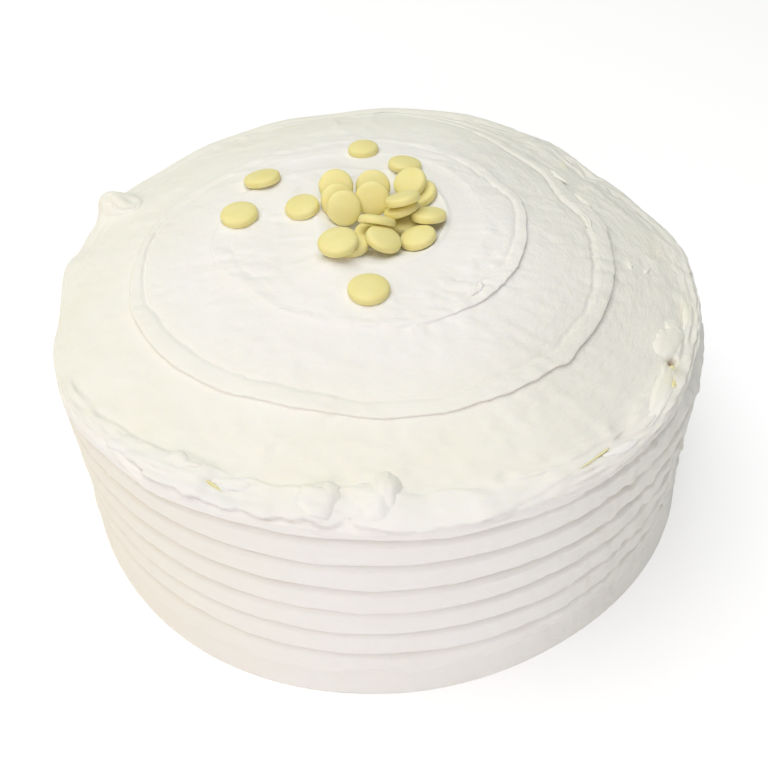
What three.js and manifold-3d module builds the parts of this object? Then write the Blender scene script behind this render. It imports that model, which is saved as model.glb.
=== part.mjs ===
// White mud cake under smoothed white icing, with white chocolate buttons piled in a hollow on top.
// Units are millimetres. +Z is up, the flat base lies on z = 0, and -Y is the front of the cake.
//
// The cake and its icing are one solid. Its top is a low dome that a palette knife has drawn into one
// long spiral step, running anticlockwise from the back of the hollow out to the rim, about two turns.
// Its side has been combed into level bands, and every button is a body of its own.
import * as THREE from 'three';
import Module from 'manifold-3d';
import { mergeVertices } from 'three/addons/utils/BufferGeometryUtils.js';

// ---- overall size -------------------------------------------------------------------------------
const SIDE_RADIUS = 120; // straight combed side, icing included
const RIM_HEIGHT = 92.3; // height of the outer edge of the top
const DOME_RISE = 14; // how much higher the middle of the top is
const DOME_POWER = 2.6; // flat in the middle, falling faster towards the rim
const COLUMNS = 120; // facets round the cake

// ---- combed side --------------------------------------------------------------------------------
const COMB_FIRST = 10.5; // height of the lowest groove
const COMB_PITCH = 12.5;
const COMB_LINES = 7;
const COMB_DEPTH = 1.1;

// ---- hollow in the middle of the top ------------------------------------------------------------
const CRATER = { x: 2, y: 12, halfX: 23.5, halfY: 30, depth: 6.5 };

// ---- spiral step, every 45 degrees for two turns ------------------------------------------------
// It leaves the hollow's edge at the back (90 degrees), so its radii are listed from 135 degrees on.
const CREST_RADII = [55.5, 58.5, 52, 48, 50, 53.5, 60, 71, 77, 88.5, 87.5, 83.5, 84.5, 84, 86, 112];
const CREST_LIFT = [0.3, 0.6, 0.7, 0.7, 0.5, 0.8, 1, 1, 0.7, 0.8, 1, 1, 1, 1.1, 1.1, 1, 0.5];

// Radii every 30 degrees from +X: the icing was pushed over the edge unevenly, is rounded off most
// at the back right, and spreads a little where it meets the board.
const RIM_RADII = [110.5, 105.5, 111.5, 112, 111.5, 109.5, 113.5, 117, 113, 108.5, 112.5, 114.5];
const SHOULDER_RADII = [115, 112, 119.5, 120, 120, 117, 117.5, 119.5, 120, 120, 120, 118.5];
const FOOT_RADII = [123.5, 123, 122.5, 122, 122, 122.5, 122, 122, 122.8, 121.6, 120.9, 123.2];

// Cross-section of one band of the spiral, from its inner crest (0) to the next crest out (1).
const BAND = {
  at: [0, 0.07, 0.3, 0.62, 0.88, 1],
  fromInner: [1.2, -1.6, -1.2, 0, 0, 0],
  fromOuter: [0, 0, 0, 0, 0.5, 1.2],
};

// Lumps, folds and dents in the icing of the rim: angle in degrees, distance outward from the rim
// crest along the surface, half-lengths along and across the rim, and height (negative for a dent).
const LUMPS = [
  { angle: -88, out: -3, along: 3.2, across: 3.2, height: 5 }, // small peak at the front
  { angle: -98, out: 2, along: 5, across: 5, height: 3.5 }, // ball beside it
  { angle: -122, out: 5, along: 16, across: 4, height: 2.4 }, // folded layers, front left
  { angle: -142, out: 7, along: 15, across: 5, height: 2.6 },
  { angle: 186, out: 6, along: 10, across: 5, height: 2 }, // bulges on the left
  { angle: 172, out: 3, along: 5, across: 5, height: -1.6 },
  { angle: 158, out: 1, along: 4.2, across: 4, height: 8 }, // curl standing off the left edge
  { angle: -24, out: -3, along: 6, across: 5, height: 2.6 }, // lobe on the right
  { angle: -31, out: -1, along: 3, across: 3, height: -3.2 }, // torn spot beside it
  { angle: -42, out: 1, along: 12, across: 4, height: 1.8 },
  { angle: 47, out: -2, along: 9, across: 4, height: 1.6 }, // crumbly ridge, back right
  { angle: 32, out: -1, along: 4, across: 4, height: -1.6 },
];

// ---- buttons: diameter, centre, lean in degrees and the direction they lean towards --------------
const BUTTON_THICKNESS = 3.6;
const TUCKED = 'button_02'; // this one is pushed partly under the step's lip
const CLEARANCE = 0.35;
const BUTTONS = [
  // lying apart on the icing
  { name: 'button_01', diameter: 14.3, at: [-50.3, 14.5, 107.1], lean: 3, towards: 210 },
  { name: 'button_02', diameter: 14.5, at: [-43.6, 39.4, 105.4], lean: 14, towards: 125 },
  { name: 'button_03', diameter: 13.3, at: [-27.2, 16.5, 108.4], lean: 8, towards: 200 },
  { name: 'button_04', diameter: 12.4, at: [-4.4, 59.3, 105.7], lean: 4, towards: 106 },
  { name: 'button_05', diameter: 13.2, at: [11.8, 44.4, 107.4], lean: 10, towards: 50 },
  { name: 'button_06', diameter: 14.8, at: [-3.2, -31.6, 107.7], lean: 1, towards: 270 },
  // in the pile, from its front round to its back
  { name: 'button_07', diameter: 14.3, at: [-13.4, -12.5, 112.7], lean: 7, towards: 234 },
  { name: 'button_08', diameter: 13.6, at: [-9.4, -9.0, 108.8], lean: 4, towards: 90 },
  { name: 'button_09', diameter: 13.4, at: [2.5, -7.8, 109.8], lean: 19, towards: 0 },
  { name: 'button_10', diameter: 13.8, at: [-1.3, 3.7, 103.5], lean: 12, towards: 29 },
  { name: 'button_11', diameter: 13.5, at: [14.4, -3.4, 106.8], lean: 15, towards: 163 },
  { name: 'button_12', diameter: 13.8, at: [0.3, 2.1, 110.5], lean: 39, towards: 75 },
  { name: 'button_13', diameter: 13.3, at: [19.0, 7.6, 108.4], lean: 17, towards: 90 },
  { name: 'button_14', diameter: 13.6, at: [9.1, 10.5, 109.2], lean: 27, towards: 131 },
  { name: 'button_15', diameter: 13.5, at: [10.2, 9.5, 104.0], lean: 4, towards: 80 },
  { name: 'button_16', diameter: 13.3, at: [9.6, 10.1, 114.0], lean: 25, towards: 120 },
  { name: 'button_17', diameter: 13.2, at: [16.6, 25.1, 105.8], lean: 21, towards: 204 },
  { name: 'button_18', diameter: 13.2, at: [12.8, 26.5, 109.8], lean: 30, towards: 223 },
  { name: 'button_19', diameter: 13.2, at: [-1.2, 16.1, 109.9], lean: 59, towards: 270 },
  { name: 'button_20', diameter: 13.4, at: [-0.9, 28.5, 107.0], lean: 43, towards: 270 },
  { name: 'button_21', diameter: 13.2, at: [-11.6, 12.0, 109.1], lean: 57, towards: 270 },
  { name: 'button_22', diameter: 13.2, at: [-13.8, 17.4, 108.7], lean: 51, towards: 279 },
  { name: 'button_23', diameter: 13.3, at: [-14.6, 25.4, 109.9], lean: 38, towards: 270 },
];

const ICING = new THREE.MeshStandardMaterial({ color: 0xf3efe3, roughness: 0.62 });
const CHOCOLATE = new THREE.MeshStandardMaterial({ color: 0xecdf95, roughness: 0.45 });

const radians = THREE.MathUtils.degToRad;
const clamp = THREE.MathUtils.clamp;
const lerp = THREE.MathUtils.lerp;

// Smooth curve through evenly spaced keys, read at a position given in key steps.
function along(keys, position, periodic) {
  const n = keys.length;
  let i = Math.floor(position);
  if (!periodic) i = clamp(i, 0, n - 2);
  const key = (k) => (periodic ? keys[((k % n) + n) % n] : keys[clamp(k, 0, n - 1)]);
  const [a, b, c, d] = [key(i - 1), key(i), key(i + 1), key(i + 2)];
  const t = position - i;
  return b + 0.5 * t * (c - a + t * (2 * a - 5 * b + 4 * c - d + t * (3 * (b - c) + d - a)));
}

const rimRadius = (angle) => along(RIM_RADII, angle / 30, true);
const shoulderRadius = (angle) => along(SHOULDER_RADII, angle / 30, true);
const footRadius = (angle) => along(FOOT_RADII, angle / 30, true);
const crestRadius = (angle) => along([craterEdge(90), ...CREST_RADII], (angle - 90) / 45, false);
const crestLift = (angle) => along(CREST_LIFT, (angle - 90) / 45, false);

// Distance from the cake's axis to the edge of the off-centre oval hollow, in a given direction.
function craterEdge(angle) {
  const c = Math.cos(radians(angle));
  const s = Math.sin(radians(angle));
  const { x, y, halfX, halfY } = CRATER;
  const p = (c / halfX) ** 2 + (s / halfY) ** 2;
  const q = -2 * ((c * x) / halfX ** 2 + (s * y) / halfY ** 2);
  const k = (x / halfX) ** 2 + (y / halfY) ** 2 - 1;
  return (-q + Math.sqrt(q * q - 4 * p * k)) / (2 * p);
}

// The plain dome, before the spiral step is drawn into it.
function dome(angle, radius) {
  return RIM_HEIGHT + DOME_RISE * (1 - (radius / rimRadius(angle)) ** DOME_POWER);
}

function piecewise(xs, ys, x) {
  let i = 0;
  while (i < xs.length - 2 && x > xs[i + 1]) i += 1;
  return lerp(ys[i], ys[i + 1], (x - xs[i]) / (xs[i + 1] - xs[i]));
}

// Height of a band over the dome: the step down outside the inner crest, and the outer lip.
function bandRelief(u, width, liftInner, liftOuter) {
  const ends = 1.2 * lerp(liftInner, liftOuter, u);
  const shaped =
    liftInner * piecewise(BAND.at, BAND.fromInner, u) + liftOuter * piecewise(BAND.at, BAND.fromOuter, u);
  return lerp(ends, shaped, clamp(width / 15, 0, 1));
}

// Depth of the comb's grooves at a height: sharp below each line, a softer turn-in above it.
function combDepth(z) {
  const band = (z - COMB_FIRST) / COMB_PITCH;
  const nearest = clamp(Math.round(band), 0, COMB_LINES - 1);
  const off = z - (COMB_FIRST + nearest * COMB_PITCH);
  return COMB_DEPTH * Math.max(0, 1 - (off > 0 ? off / 3.2 : -off / 1.3));
}

// How far the icing stands out of the plain form, by angle and distance outward from the rim crest.
function lumpHeight(angle, out) {
  let total = 0;
  for (const lump of LUMPS) {
    const turn = ((((angle - lump.angle) % 360) + 540) % 360) - 180;
    const side = (radians(turn) * SIDE_RADIUS) / lump.along;
    const across = (out - lump.out) / lump.across;
    total += lump.height * Math.exp(-0.5 * (side * side + across * across));
  }
  const a = radians(angle);
  const sway = 0.4 * Math.sin(5 * a + 0.7) + 0.4 * Math.sin(9 * a + 1.9) + 0.3 * Math.sin(17 * a + 0.4);
  return total + sway * Math.exp(-0.5 * ((out - 8) / 9) ** 2);
}

// A point of the skin: plain radius and height, moved out by the lumps. Out of the rim crest the skin
// faces sideways, well inside it upwards, and in between it turns over smoothly.
function skinPoint(angle, radius, z, out) {
  const rise = radians(90 * (1 - clamp((out + 6) / 20, 0, 1)));
  const lift = lumpHeight(angle, out);
  const r = radius + lift * Math.cos(rise);
  return [r * Math.cos(radians(angle)), r * Math.sin(radians(angle)), z + lift * Math.sin(rise)];
}

// Joins the points of successive columns into faces. Every column lists as many points as the first.
function stripFaces(columns, positions) {
  for (let j = 0; j + 1 < columns.length; j += 1) {
    const here = columns[j];
    const next = columns[j + 1];
    for (let i = 0; i + 1 < here.length; i += 1) {
      positions.push(...here[i], ...here[i + 1], ...next[i + 1]);
      positions.push(...here[i], ...next[i + 1], ...next[i]);
    }
  }
}

function bandColumn(angle, inner, outer, liftInner, liftOuter) {
  const rim = rimRadius(angle);
  return BAND.at.map((u) => {
    const r = lerp(inner, outer, u);
    const z = dome(angle, r) + bandRelief(u, outer - inner, liftInner, liftOuter);
    return skinPoint(angle, r, z, r - rim);
  });
}

function craterColumn(angle) {
  const edge = craterEdge(angle);
  const [ex, ey] = [edge * Math.cos(radians(angle)), edge * Math.sin(radians(angle))];
  return [0, 0.45, 0.75, 0.92, 1].map((t) => {
    const x = lerp(CRATER.x, ex, t);
    const y = lerp(CRATER.y, ey, t);
    const heading = THREE.MathUtils.radToDeg(Math.atan2(y, x));
    const lip = 1.2 * CREST_LIFT[0] * t ** 6;
    return [x, y, dome(heading, Math.hypot(x, y)) + lip - CRATER.depth * (1 - t ** 3)];
  });
}

// From the rim crest over the shoulder, down the combed side and in to the middle of the base.
function sideColumn(angle) {
  const rim = rimRadius(angle);
  const rimZ = RIM_HEIGHT + 1.2 * CREST_LIFT[CREST_LIFT.length - 1];
  const shoulder = shoulderRadius(angle);
  const top = COMB_FIRST + COMB_PITCH * (COMB_LINES - 1);
  const points = [skinPoint(angle, rim, rimZ, 0)];
  for (const [outward, down, out] of [[0.5, 0.2, 4], [0.85, 0.55, 8]]) {
    points.push(skinPoint(angle, lerp(rim, shoulder, outward), lerp(rimZ, top + 1.6, down), out));
  }
  const heights = [];
  for (let k = COMB_LINES - 1; k >= 0; k -= 1) {
    const line = COMB_FIRST + k * COMB_PITCH;
    heights.push(line + 3.2, line, line - 1.3);
  }
  heights.push(1.2, 0);
  for (const z of heights) {
    const flare = (footRadius(angle) - SIDE_RADIUS) * Math.exp(-((z / 16) ** 2));
    const lean = (SIDE_RADIUS - shoulder) * THREE.MathUtils.smoothstep(z, top - 12, top + 2);
    const radius = SIDE_RADIUS + flare - lean - combDepth(z) - (z === 0 ? 0.5 : 0);
    points.push(skinPoint(angle, radius, z, 14 + top - z));
  }
  points.push([0, 0, 0]);
  return points;
}

function closedGeometry(positions) {
  const loose = new THREE.BufferGeometry();
  loose.setAttribute('position', new THREE.Float32BufferAttribute(positions, 3));
  const welded = mergeVertices(loose, 2e-3);
  const index = welded.index.array;
  const kept = [];
  for (let i = 0; i < index.length; i += 3) {
    const [a, b, c] = [index[i], index[i + 1], index[i + 2]];
    if (a !== b && b !== c && a !== c) kept.push(a, b, c);
  }
  welded.setIndex(kept);
  welded.computeVertexNormals();
  return welded;
}

function cakeGeometry() {
  const hollow = [];
  const bands = [[], [], []];
  const side = [];
  const edgeLift = CREST_LIFT[0];
  const rimLift = CREST_LIFT[CREST_LIFT.length - 1];
  for (let j = 0; j <= COLUMNS; j += 1) {
    const angle = 90 + (360 * j) / COLUMNS;
    const radii = [craterEdge(angle), crestRadius(angle), crestRadius(angle + 360), rimRadius(angle)];
    const lifts = [edgeLift, crestLift(angle), crestLift(angle + 360), rimLift];
    hollow.push(craterColumn(angle));
    side.push(sideColumn(angle));
    for (let b = 0; b < 3; b += 1) {
      bands[b].push(bandColumn(angle, radii[b], radii[b + 1], lifts[b], lifts[b + 1]));
    }
  }
  const positions = [];
  for (const columns of [hollow, ...bands, side]) stripFaces(columns, positions);
  return closedGeometry(positions);
}

// A button set out of melted chocolate: flat underneath, soft-edged, with a low domed top. It is
// turned about its own middle, so its centre is the centre of its height.
function buttonGeometry(diameter, thickness) {
  const radius = diameter / 2;
  const half = thickness / 2;
  const outline = [
    [0, -half],
    [0.9 * radius, -half],
    [radius, -0.35 * half],
    [0.86 * radius, 0.5 * half],
    [0.5 * radius, 0.92 * half],
    [0, half],
  ];
  const columns = [];
  const facets = 14;
  for (let j = 0; j <= facets; j += 1) {
    const a = (2 * Math.PI * j) / facets;
    columns.push(outline.map(([r, z]) => [r * Math.cos(a), r * Math.sin(a), z]).reverse());
  }
  const positions = [];
  stripFaces(columns, positions);
  return closedGeometry(positions);
}

function placedButton({ name, diameter, at, lean, towards }, grow = 0) {
  const geometry = buttonGeometry(diameter + 2 * grow, BUTTON_THICKNESS + 2 * grow);
  const button = new THREE.Mesh(geometry, CHOCOLATE);
  button.name = name;
  const heading = radians(towards);
  const axis = new THREE.Vector3(-Math.sin(heading), Math.cos(heading), 0);
  button.quaternion.setFromAxisAngle(axis, radians(lean));
  button.position.set(...at);
  button.updateMatrixWorld(true);
  return button;
}

// The icing with a close-fitting pocket for the button that is tucked into it.
async function withPocket(geometry, button) {
  const wasm = await Module();
  wasm.setup();
  const solidOf = (g) =>
    new wasm.Manifold(
      new wasm.Mesh({
        numProp: 3,
        vertProperties: new Float32Array(g.attributes.position.array),
        triVerts: new Uint32Array(g.index.array),
      }),
    );
  const tool = button.geometry.clone().applyMatrix4(button.matrixWorld);
  const cut = solidOf(geometry).subtract(solidOf(tool)).getMesh();
  const result = new THREE.BufferGeometry();
  result.setAttribute('position', new THREE.Float32BufferAttribute(cut.vertProperties, 3));
  result.setIndex(Array.from(cut.triVerts));
  result.computeVertexNormals();
  return result;
}

const cake = new THREE.Group();
cake.name = 'white_mud_cake';

const tucked = BUTTONS.find(({ name }) => name === TUCKED);
const body = new THREE.Mesh(await withPocket(cakeGeometry(), placedButton(tucked, CLEARANCE)), ICING);
body.name = 'cake';
cake.add(body);
for (const button of BUTTONS) cake.add(placedButton(button));

export default cake;
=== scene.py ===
"""White mud cake under smoothed white icing, with white chocolate buttons piled in a hollow on top.

Sizes of the cake are named in millimetres in the classes below and laid into the frame in metres.
+Z is up, the cake stands on z = 0, and -Y is its front. Angles are in degrees from +X.
"""

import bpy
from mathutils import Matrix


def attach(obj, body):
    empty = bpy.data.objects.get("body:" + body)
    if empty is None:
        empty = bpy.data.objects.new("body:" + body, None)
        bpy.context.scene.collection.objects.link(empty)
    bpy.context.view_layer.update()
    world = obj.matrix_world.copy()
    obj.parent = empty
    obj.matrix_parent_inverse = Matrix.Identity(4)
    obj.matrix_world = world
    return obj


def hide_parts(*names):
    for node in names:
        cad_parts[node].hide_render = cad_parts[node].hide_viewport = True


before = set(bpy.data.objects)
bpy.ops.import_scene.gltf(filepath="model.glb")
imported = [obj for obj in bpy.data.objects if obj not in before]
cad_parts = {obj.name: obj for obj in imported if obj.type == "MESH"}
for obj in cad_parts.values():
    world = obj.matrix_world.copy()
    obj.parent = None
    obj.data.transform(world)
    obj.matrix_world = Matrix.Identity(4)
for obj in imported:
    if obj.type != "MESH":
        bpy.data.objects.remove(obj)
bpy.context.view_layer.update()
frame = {"nodes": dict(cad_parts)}

import logging
from dataclasses import dataclass
from enum import Enum
from functools import lru_cache
from math import radians

import bpy
import numpy as np
from mathutils import Matrix, Vector

LOG = logging.getLogger("white_mud_cake")
MM = 0.001
FULL_TURN = 360.0
RIM_REACH = 116.0
Array = np.ndarray
Socket = bpy.types.NodeSocket
Thing = bpy.types.Object
Material = bpy.types.Material


# ---- shared helpers ------------------------------------------------------------------------------
class Slot(Enum):
    """Material slots of the record."""

    ICING = "icing"
    CHOCOLATE = "white_chocolate"


def keyed(keys: list[float], position: Array, periodic: bool = False) -> Array:
    """Reads a smooth curve through evenly spaced keys.

    Args:
        keys: Values at 0, 1, 2 and so on.
        position: Where to read, in key steps.
        periodic: True if the last key leads back to the first.

    Returns:
        The curve's value at each position.
    """
    values = np.asarray(keys, float)
    n = len(values)
    start = np.floor(position).astype(int)
    if not periodic:
        start = np.clip(start, 0, n - 2)
    t = position - start
    picks = [start + k for k in (-1, 0, 1, 2)]
    a, b, c, d = [values[np.mod(p, n) if periodic else np.clip(p, 0, n - 1)] for p in picks]
    return b + 0.5 * t * (c - a + t * (2 * a - 5 * b + 4 * c - d + t * (3 * (b - c) + d - a)))


def upright(values: tuple) -> Array:
    """A column of values, one for each ring."""
    return np.array(values, float)[:, None]


def smoothstep(x: Array, low: float, high: float) -> Array:
    """Rises smoothly from 0 at low to 1 at high."""
    t = np.clip((x - low) / (high - low), 0, 1)
    return t * t * (3 - 2 * t)


def turned(angle: Array, origin: float) -> Array:
    """Angle measured from an origin, brought into -180 to 180 degrees."""
    return np.mod(angle - origin + 180, FULL_TURN) - 180


def within(angle: Array, start: float, end: float, fade: float) -> Array:
    """1 between two angles and 0 outside them, with soft ends of the given width in degrees.

    Args:
        angle: Angles to judge, in degrees.
        start: First angle.
        end: Last angle.
        fade: Width of the soft ends.

    Returns:
        A value from 0 to 1 for each angle.
    """
    middle = (start + end) / 2
    half = (end - start) / 2
    return 1 - smoothstep(np.abs(turned(angle, middle)), half - fade, half + fade)


@lru_cache(maxsize=None)
def lattice_of(seed: int, cells: int) -> Array:
    """A seeded block of random values from -1 to 1."""
    return np.random.default_rng(seed).uniform(-1, 1, (cells,) * 3)


@dataclass(frozen=True)
class Unevenness:
    """Smooth seeded noise for what a hand leaves uneven: bumps of a length, width and height in mm."""

    seed: int
    along: float = 1.0
    across: float = 1.0
    height: float = 1.0
    cells: int = 32
    # where readings start in the block of random values
    flat_origin: float = 9.0
    round_origin: float = 40.0

    def at(self, x: Array, y: Array, z: Array) -> Array:
        """Reads the plain noise.

        Args:
            x: First coordinate, in units of the noise's own bumps.
            y: Second coordinate.
            z: Third coordinate.

        Returns:
            One value from -1 to 1 for each point.
        """
        lattice = lattice_of(self.seed, self.cells)
        x, y, z = np.broadcast_arrays(x, y, z)
        whole = [np.floor(v).astype(int) for v in (x, y, z)]
        part = [v - w for v, w in zip((x, y, z), whole)]
        ease = [p * p * (3 - 2 * p) for p in part]
        total = np.zeros(x.shape)
        for corner in range(8):
            steps = [(corner >> axis) & 1 for axis in range(3)]
            cell = [np.mod(w + s, self.cells) for w, s in zip(whole, steps)]
            weight = np.ones(x.shape)
            for e, s in zip(ease, steps):
                weight = weight * (e if s else 1 - e)
            total += weight * lattice[cell[0], cell[1], cell[2]]
        return total

    def over(self, x: Array, y: Array, level: float = 0.5) -> Array:
        """Bumps over a level sheet."""
        x, y = x / self.along + self.flat_origin, y / self.across + self.flat_origin
        return self.height * self.at(x, y, level)

    def on_line(self, place: Array, level: float = 0.5) -> Array:
        """Bumps along a line."""
        return self.height * self.at(place / self.along, 0.5, level)

    def round_the_cake(self, angle: Array, out: Array | float = 0.0, radius: float = 100.0) -> Array:
        """Bumps round the cake, without a seam.

        Args:
            angle: Angle round the cake, in degrees.
            out: Distance across the bumps, in mm.
            radius: Radius at which the bumps have their length, in mm.

        Returns:
            One value for each point.
        """
        turn, reach = np.radians(angle), radius / self.along
        x, y = reach * np.cos(turn) + self.round_origin, reach * np.sin(turn) + self.round_origin
        return self.height * self.at(x, y, out / self.across + self.round_origin)


def only(obj: Thing) -> None:
    """Makes one object the only selected and active one.

    Args:
        obj: The object.
    """
    if bpy.context.object and bpy.context.object.mode != "OBJECT":
        bpy.ops.object.mode_set(mode="OBJECT")
    bpy.ops.object.select_all(action="DESELECT")
    obj.select_set(True)
    bpy.context.view_layer.objects.active = obj


def select_vertices(obj: Thing, chosen: Array) -> None:
    """Selects some of a mesh's vertices in edit mode.

    Args:
        obj: The object being edited.
        chosen: One truth value for each vertex.
    """
    bpy.ops.object.mode_set(mode="OBJECT")
    mesh = obj.data
    mesh.polygons.foreach_set("select", np.zeros(len(mesh.polygons), bool))
    mesh.edges.foreach_set("select", np.zeros(len(mesh.edges), bool))
    mesh.vertices.foreach_set("select", np.asarray(chosen, bool))
    bpy.ops.object.mode_set(mode="EDIT")
    bpy.ops.mesh.select_mode(type="VERT")


def vertex_places(obj: Thing) -> Array:
    """The places of a mesh's vertices, one row each, in metres.

    Args:
        obj: The object that has the mesh.

    Returns:
        x, y and z of each vertex.
    """
    flat = np.zeros(len(obj.data.vertices) * 3)
    obj.data.vertices.foreach_get("co", flat)
    return flat.reshape(-1, 3)


def move_vertices(obj: Thing, places: Array) -> None:
    """Puts a mesh's vertices at new places, in metres."""
    obj.data.vertices.foreach_set("co", np.ascontiguousarray(places, float).ravel())
    obj.data.update()


def close_up(obj: Thing, distance: float) -> None:
    """Merges what coincides in a mesh and points all its faces outwards.

    Args:
        obj: The object to close.
        distance: Vertices nearer than this, in metres, become one.
    """
    only(obj)
    bpy.ops.object.mode_set(mode="EDIT")
    bpy.ops.mesh.select_all(action="SELECT")
    bpy.ops.mesh.remove_doubles(threshold=distance)
    bpy.ops.mesh.normals_make_consistent(inside=False)
    bpy.ops.object.mode_set(mode="OBJECT")
    bpy.ops.object.shade_smooth()


def colour_like_skin(obj: Thing, drag: Array, stain_and_shade: Array) -> None:
    """Gives a piece of icing the two attributes that its finish reads.

    Args:
        obj: The piece.
        drag: Coordinates along the knife's drag, one row for each vertex.
        stain_and_shade: Strength of crumbs, bare cake and roughness, one row for each vertex; the roughness
            also sets painted shade.
    """
    # the second attribute carries crumbs, bare cake and the roughness by which the finish lays painted
    # shade
    for name, values in (("drag", drag), ("stain_and_shade", stain_and_shade)):
        if name in obj.data.attributes:
            obj.data.attributes.remove(obj.data.attributes[name])
        layer = obj.data.attributes.new(name, "FLOAT_VECTOR", "POINT")
        layer.data.foreach_set("vector", np.ascontiguousarray(values, np.float32).ravel())


def belong(obj: Thing, finish: Material, slot: Slot, replaced: str | None = None) -> None:
    """Gives a finished piece its finish and fixes it to the object's one body.

    Args:
        obj: The piece.
        finish: The material that it wears.
        slot: The record's material slot that the finish stands for.
        replaced: The CAD node that the piece stands for, if any.
    """
    obj.data.materials.clear()
    obj.data.materials.append(finish)
    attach(obj, "root")
    if replaced:
        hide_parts(replaced)
    LOG.info("%s: %d faces, slot %s", obj.name, len(obj.data.polygons), slot.value)


# ---- finishes ------------------------------------------------------------------------------------
@dataclass(frozen=True)
class SoftBody:
    """How light enters a soft material: share, depth in metres and spread by colour, and its gloss."""

    share: float
    depth: float
    spread: tuple
    gloss: float


class Nodes:
    """A material's node tree, with short calls for adding and joining its nodes."""

    def __init__(self, name: str) -> None:
        """Starts an empty material.

        Args:
            name: The material's name.
        """
        self.material = bpy.data.materials.new(name)
        self.material.use_nodes = True
        self.tree = self.material.node_tree
        self.tree.nodes.clear()

    def add(self, kind: str, inputs: dict | None = None, **settings) -> bpy.types.Node:
        """Adds a node.

        Args:
            kind: The node's type, without the ShaderNode in front.
            inputs: Socket names or numbers, each with a value or an output socket to join.
            **settings: Properties of the node itself.

        Returns:
            The new node.
        """
        node = self.tree.nodes.new("ShaderNode" + kind)
        for name, value in settings.items():
            setattr(node, name, value)
        for key, value in (inputs or {}).items():
            socket = node.inputs[key]
            if isinstance(value, Socket):
                self.tree.links.new(value, socket)
            else:
                socket.default_value = value
        return node

    def noise(self, vector: Socket, scale: float, detail: float = 3.0) -> Socket:
        """Adds fractal noise on a vector and returns its value from 0 to 1."""
        settings = {"Vector": vector, "Scale": scale, "Detail": detail, "Roughness": 0.55}
        return self.add("TexNoise", settings).outputs["Fac"]

    def mix(self, factor: Socket, first: tuple, second: tuple) -> Socket:
        """Mixes two colours, or a colour and a colour socket, by a factor."""
        node = self.add("Mix", {0: factor, 6: first, 7: second}, data_type="RGBA")
        return node.outputs[2]

    def ramp(self, value: Socket, low: float, high: float) -> Socket:
        """Spreads a value so that low becomes 0 and high becomes 1."""
        settings = {"Value": value, "From Min": low, "From Max": high}
        return self.add("MapRange", settings, clamp=True).outputs[0]

    def maths(self, operation: str, *values: Socket | float) -> Socket:
        """Works out one operation on numbers and sockets."""
        return self.add("Math", dict(enumerate(values)), operation=operation).outputs[0]

    def bump(self, height: Socket, depth: float, strength: float, before: Socket | None = None) -> Socket:
        """Adds relief of the given depth in metres on top of earlier relief.

        Args:
            height: Height from 0 to 1.
            depth: Depth in metres.
            strength: Its strength.
            before: Relief that it lies on.

        Returns:
            The normal to join to a shader or to further relief.
        """
        settings = {"Height": height, "Distance": depth, "Strength": strength}
        if before is not None:
            settings["Normal"] = before
        return self.add("Bump", settings).outputs["Normal"]

    def soft(self, colour: Socket, roughness: Socket, relief: Socket, body: SoftBody) -> Material:
        """Finishes a material that light enters a little.

        Args:
            colour: Its colour.
            roughness: Its roughness.
            relief: Its relief.
            body: How light enters it.

        Returns:
            The material.
        """
        joined = {"Base Color": colour, "Roughness": roughness, "Normal": relief}
        shader = self.add("BsdfPrincipled", joined)
        shader.inputs["Subsurface Weight"].default_value = body.share
        shader.inputs["Subsurface Radius"].default_value = body.spread
        shader.inputs["Subsurface Scale"].default_value = body.depth
        shader.inputs["Specular IOR Level"].default_value = body.gloss
        return self.finish(shader)

    def finish(self, shader: bpy.types.Node) -> Material:
        """Joins the shader to the material's output and returns the material."""
        self.add("OutputMaterial", {"Surface": shader.outputs[0]})
        return self.material


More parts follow.
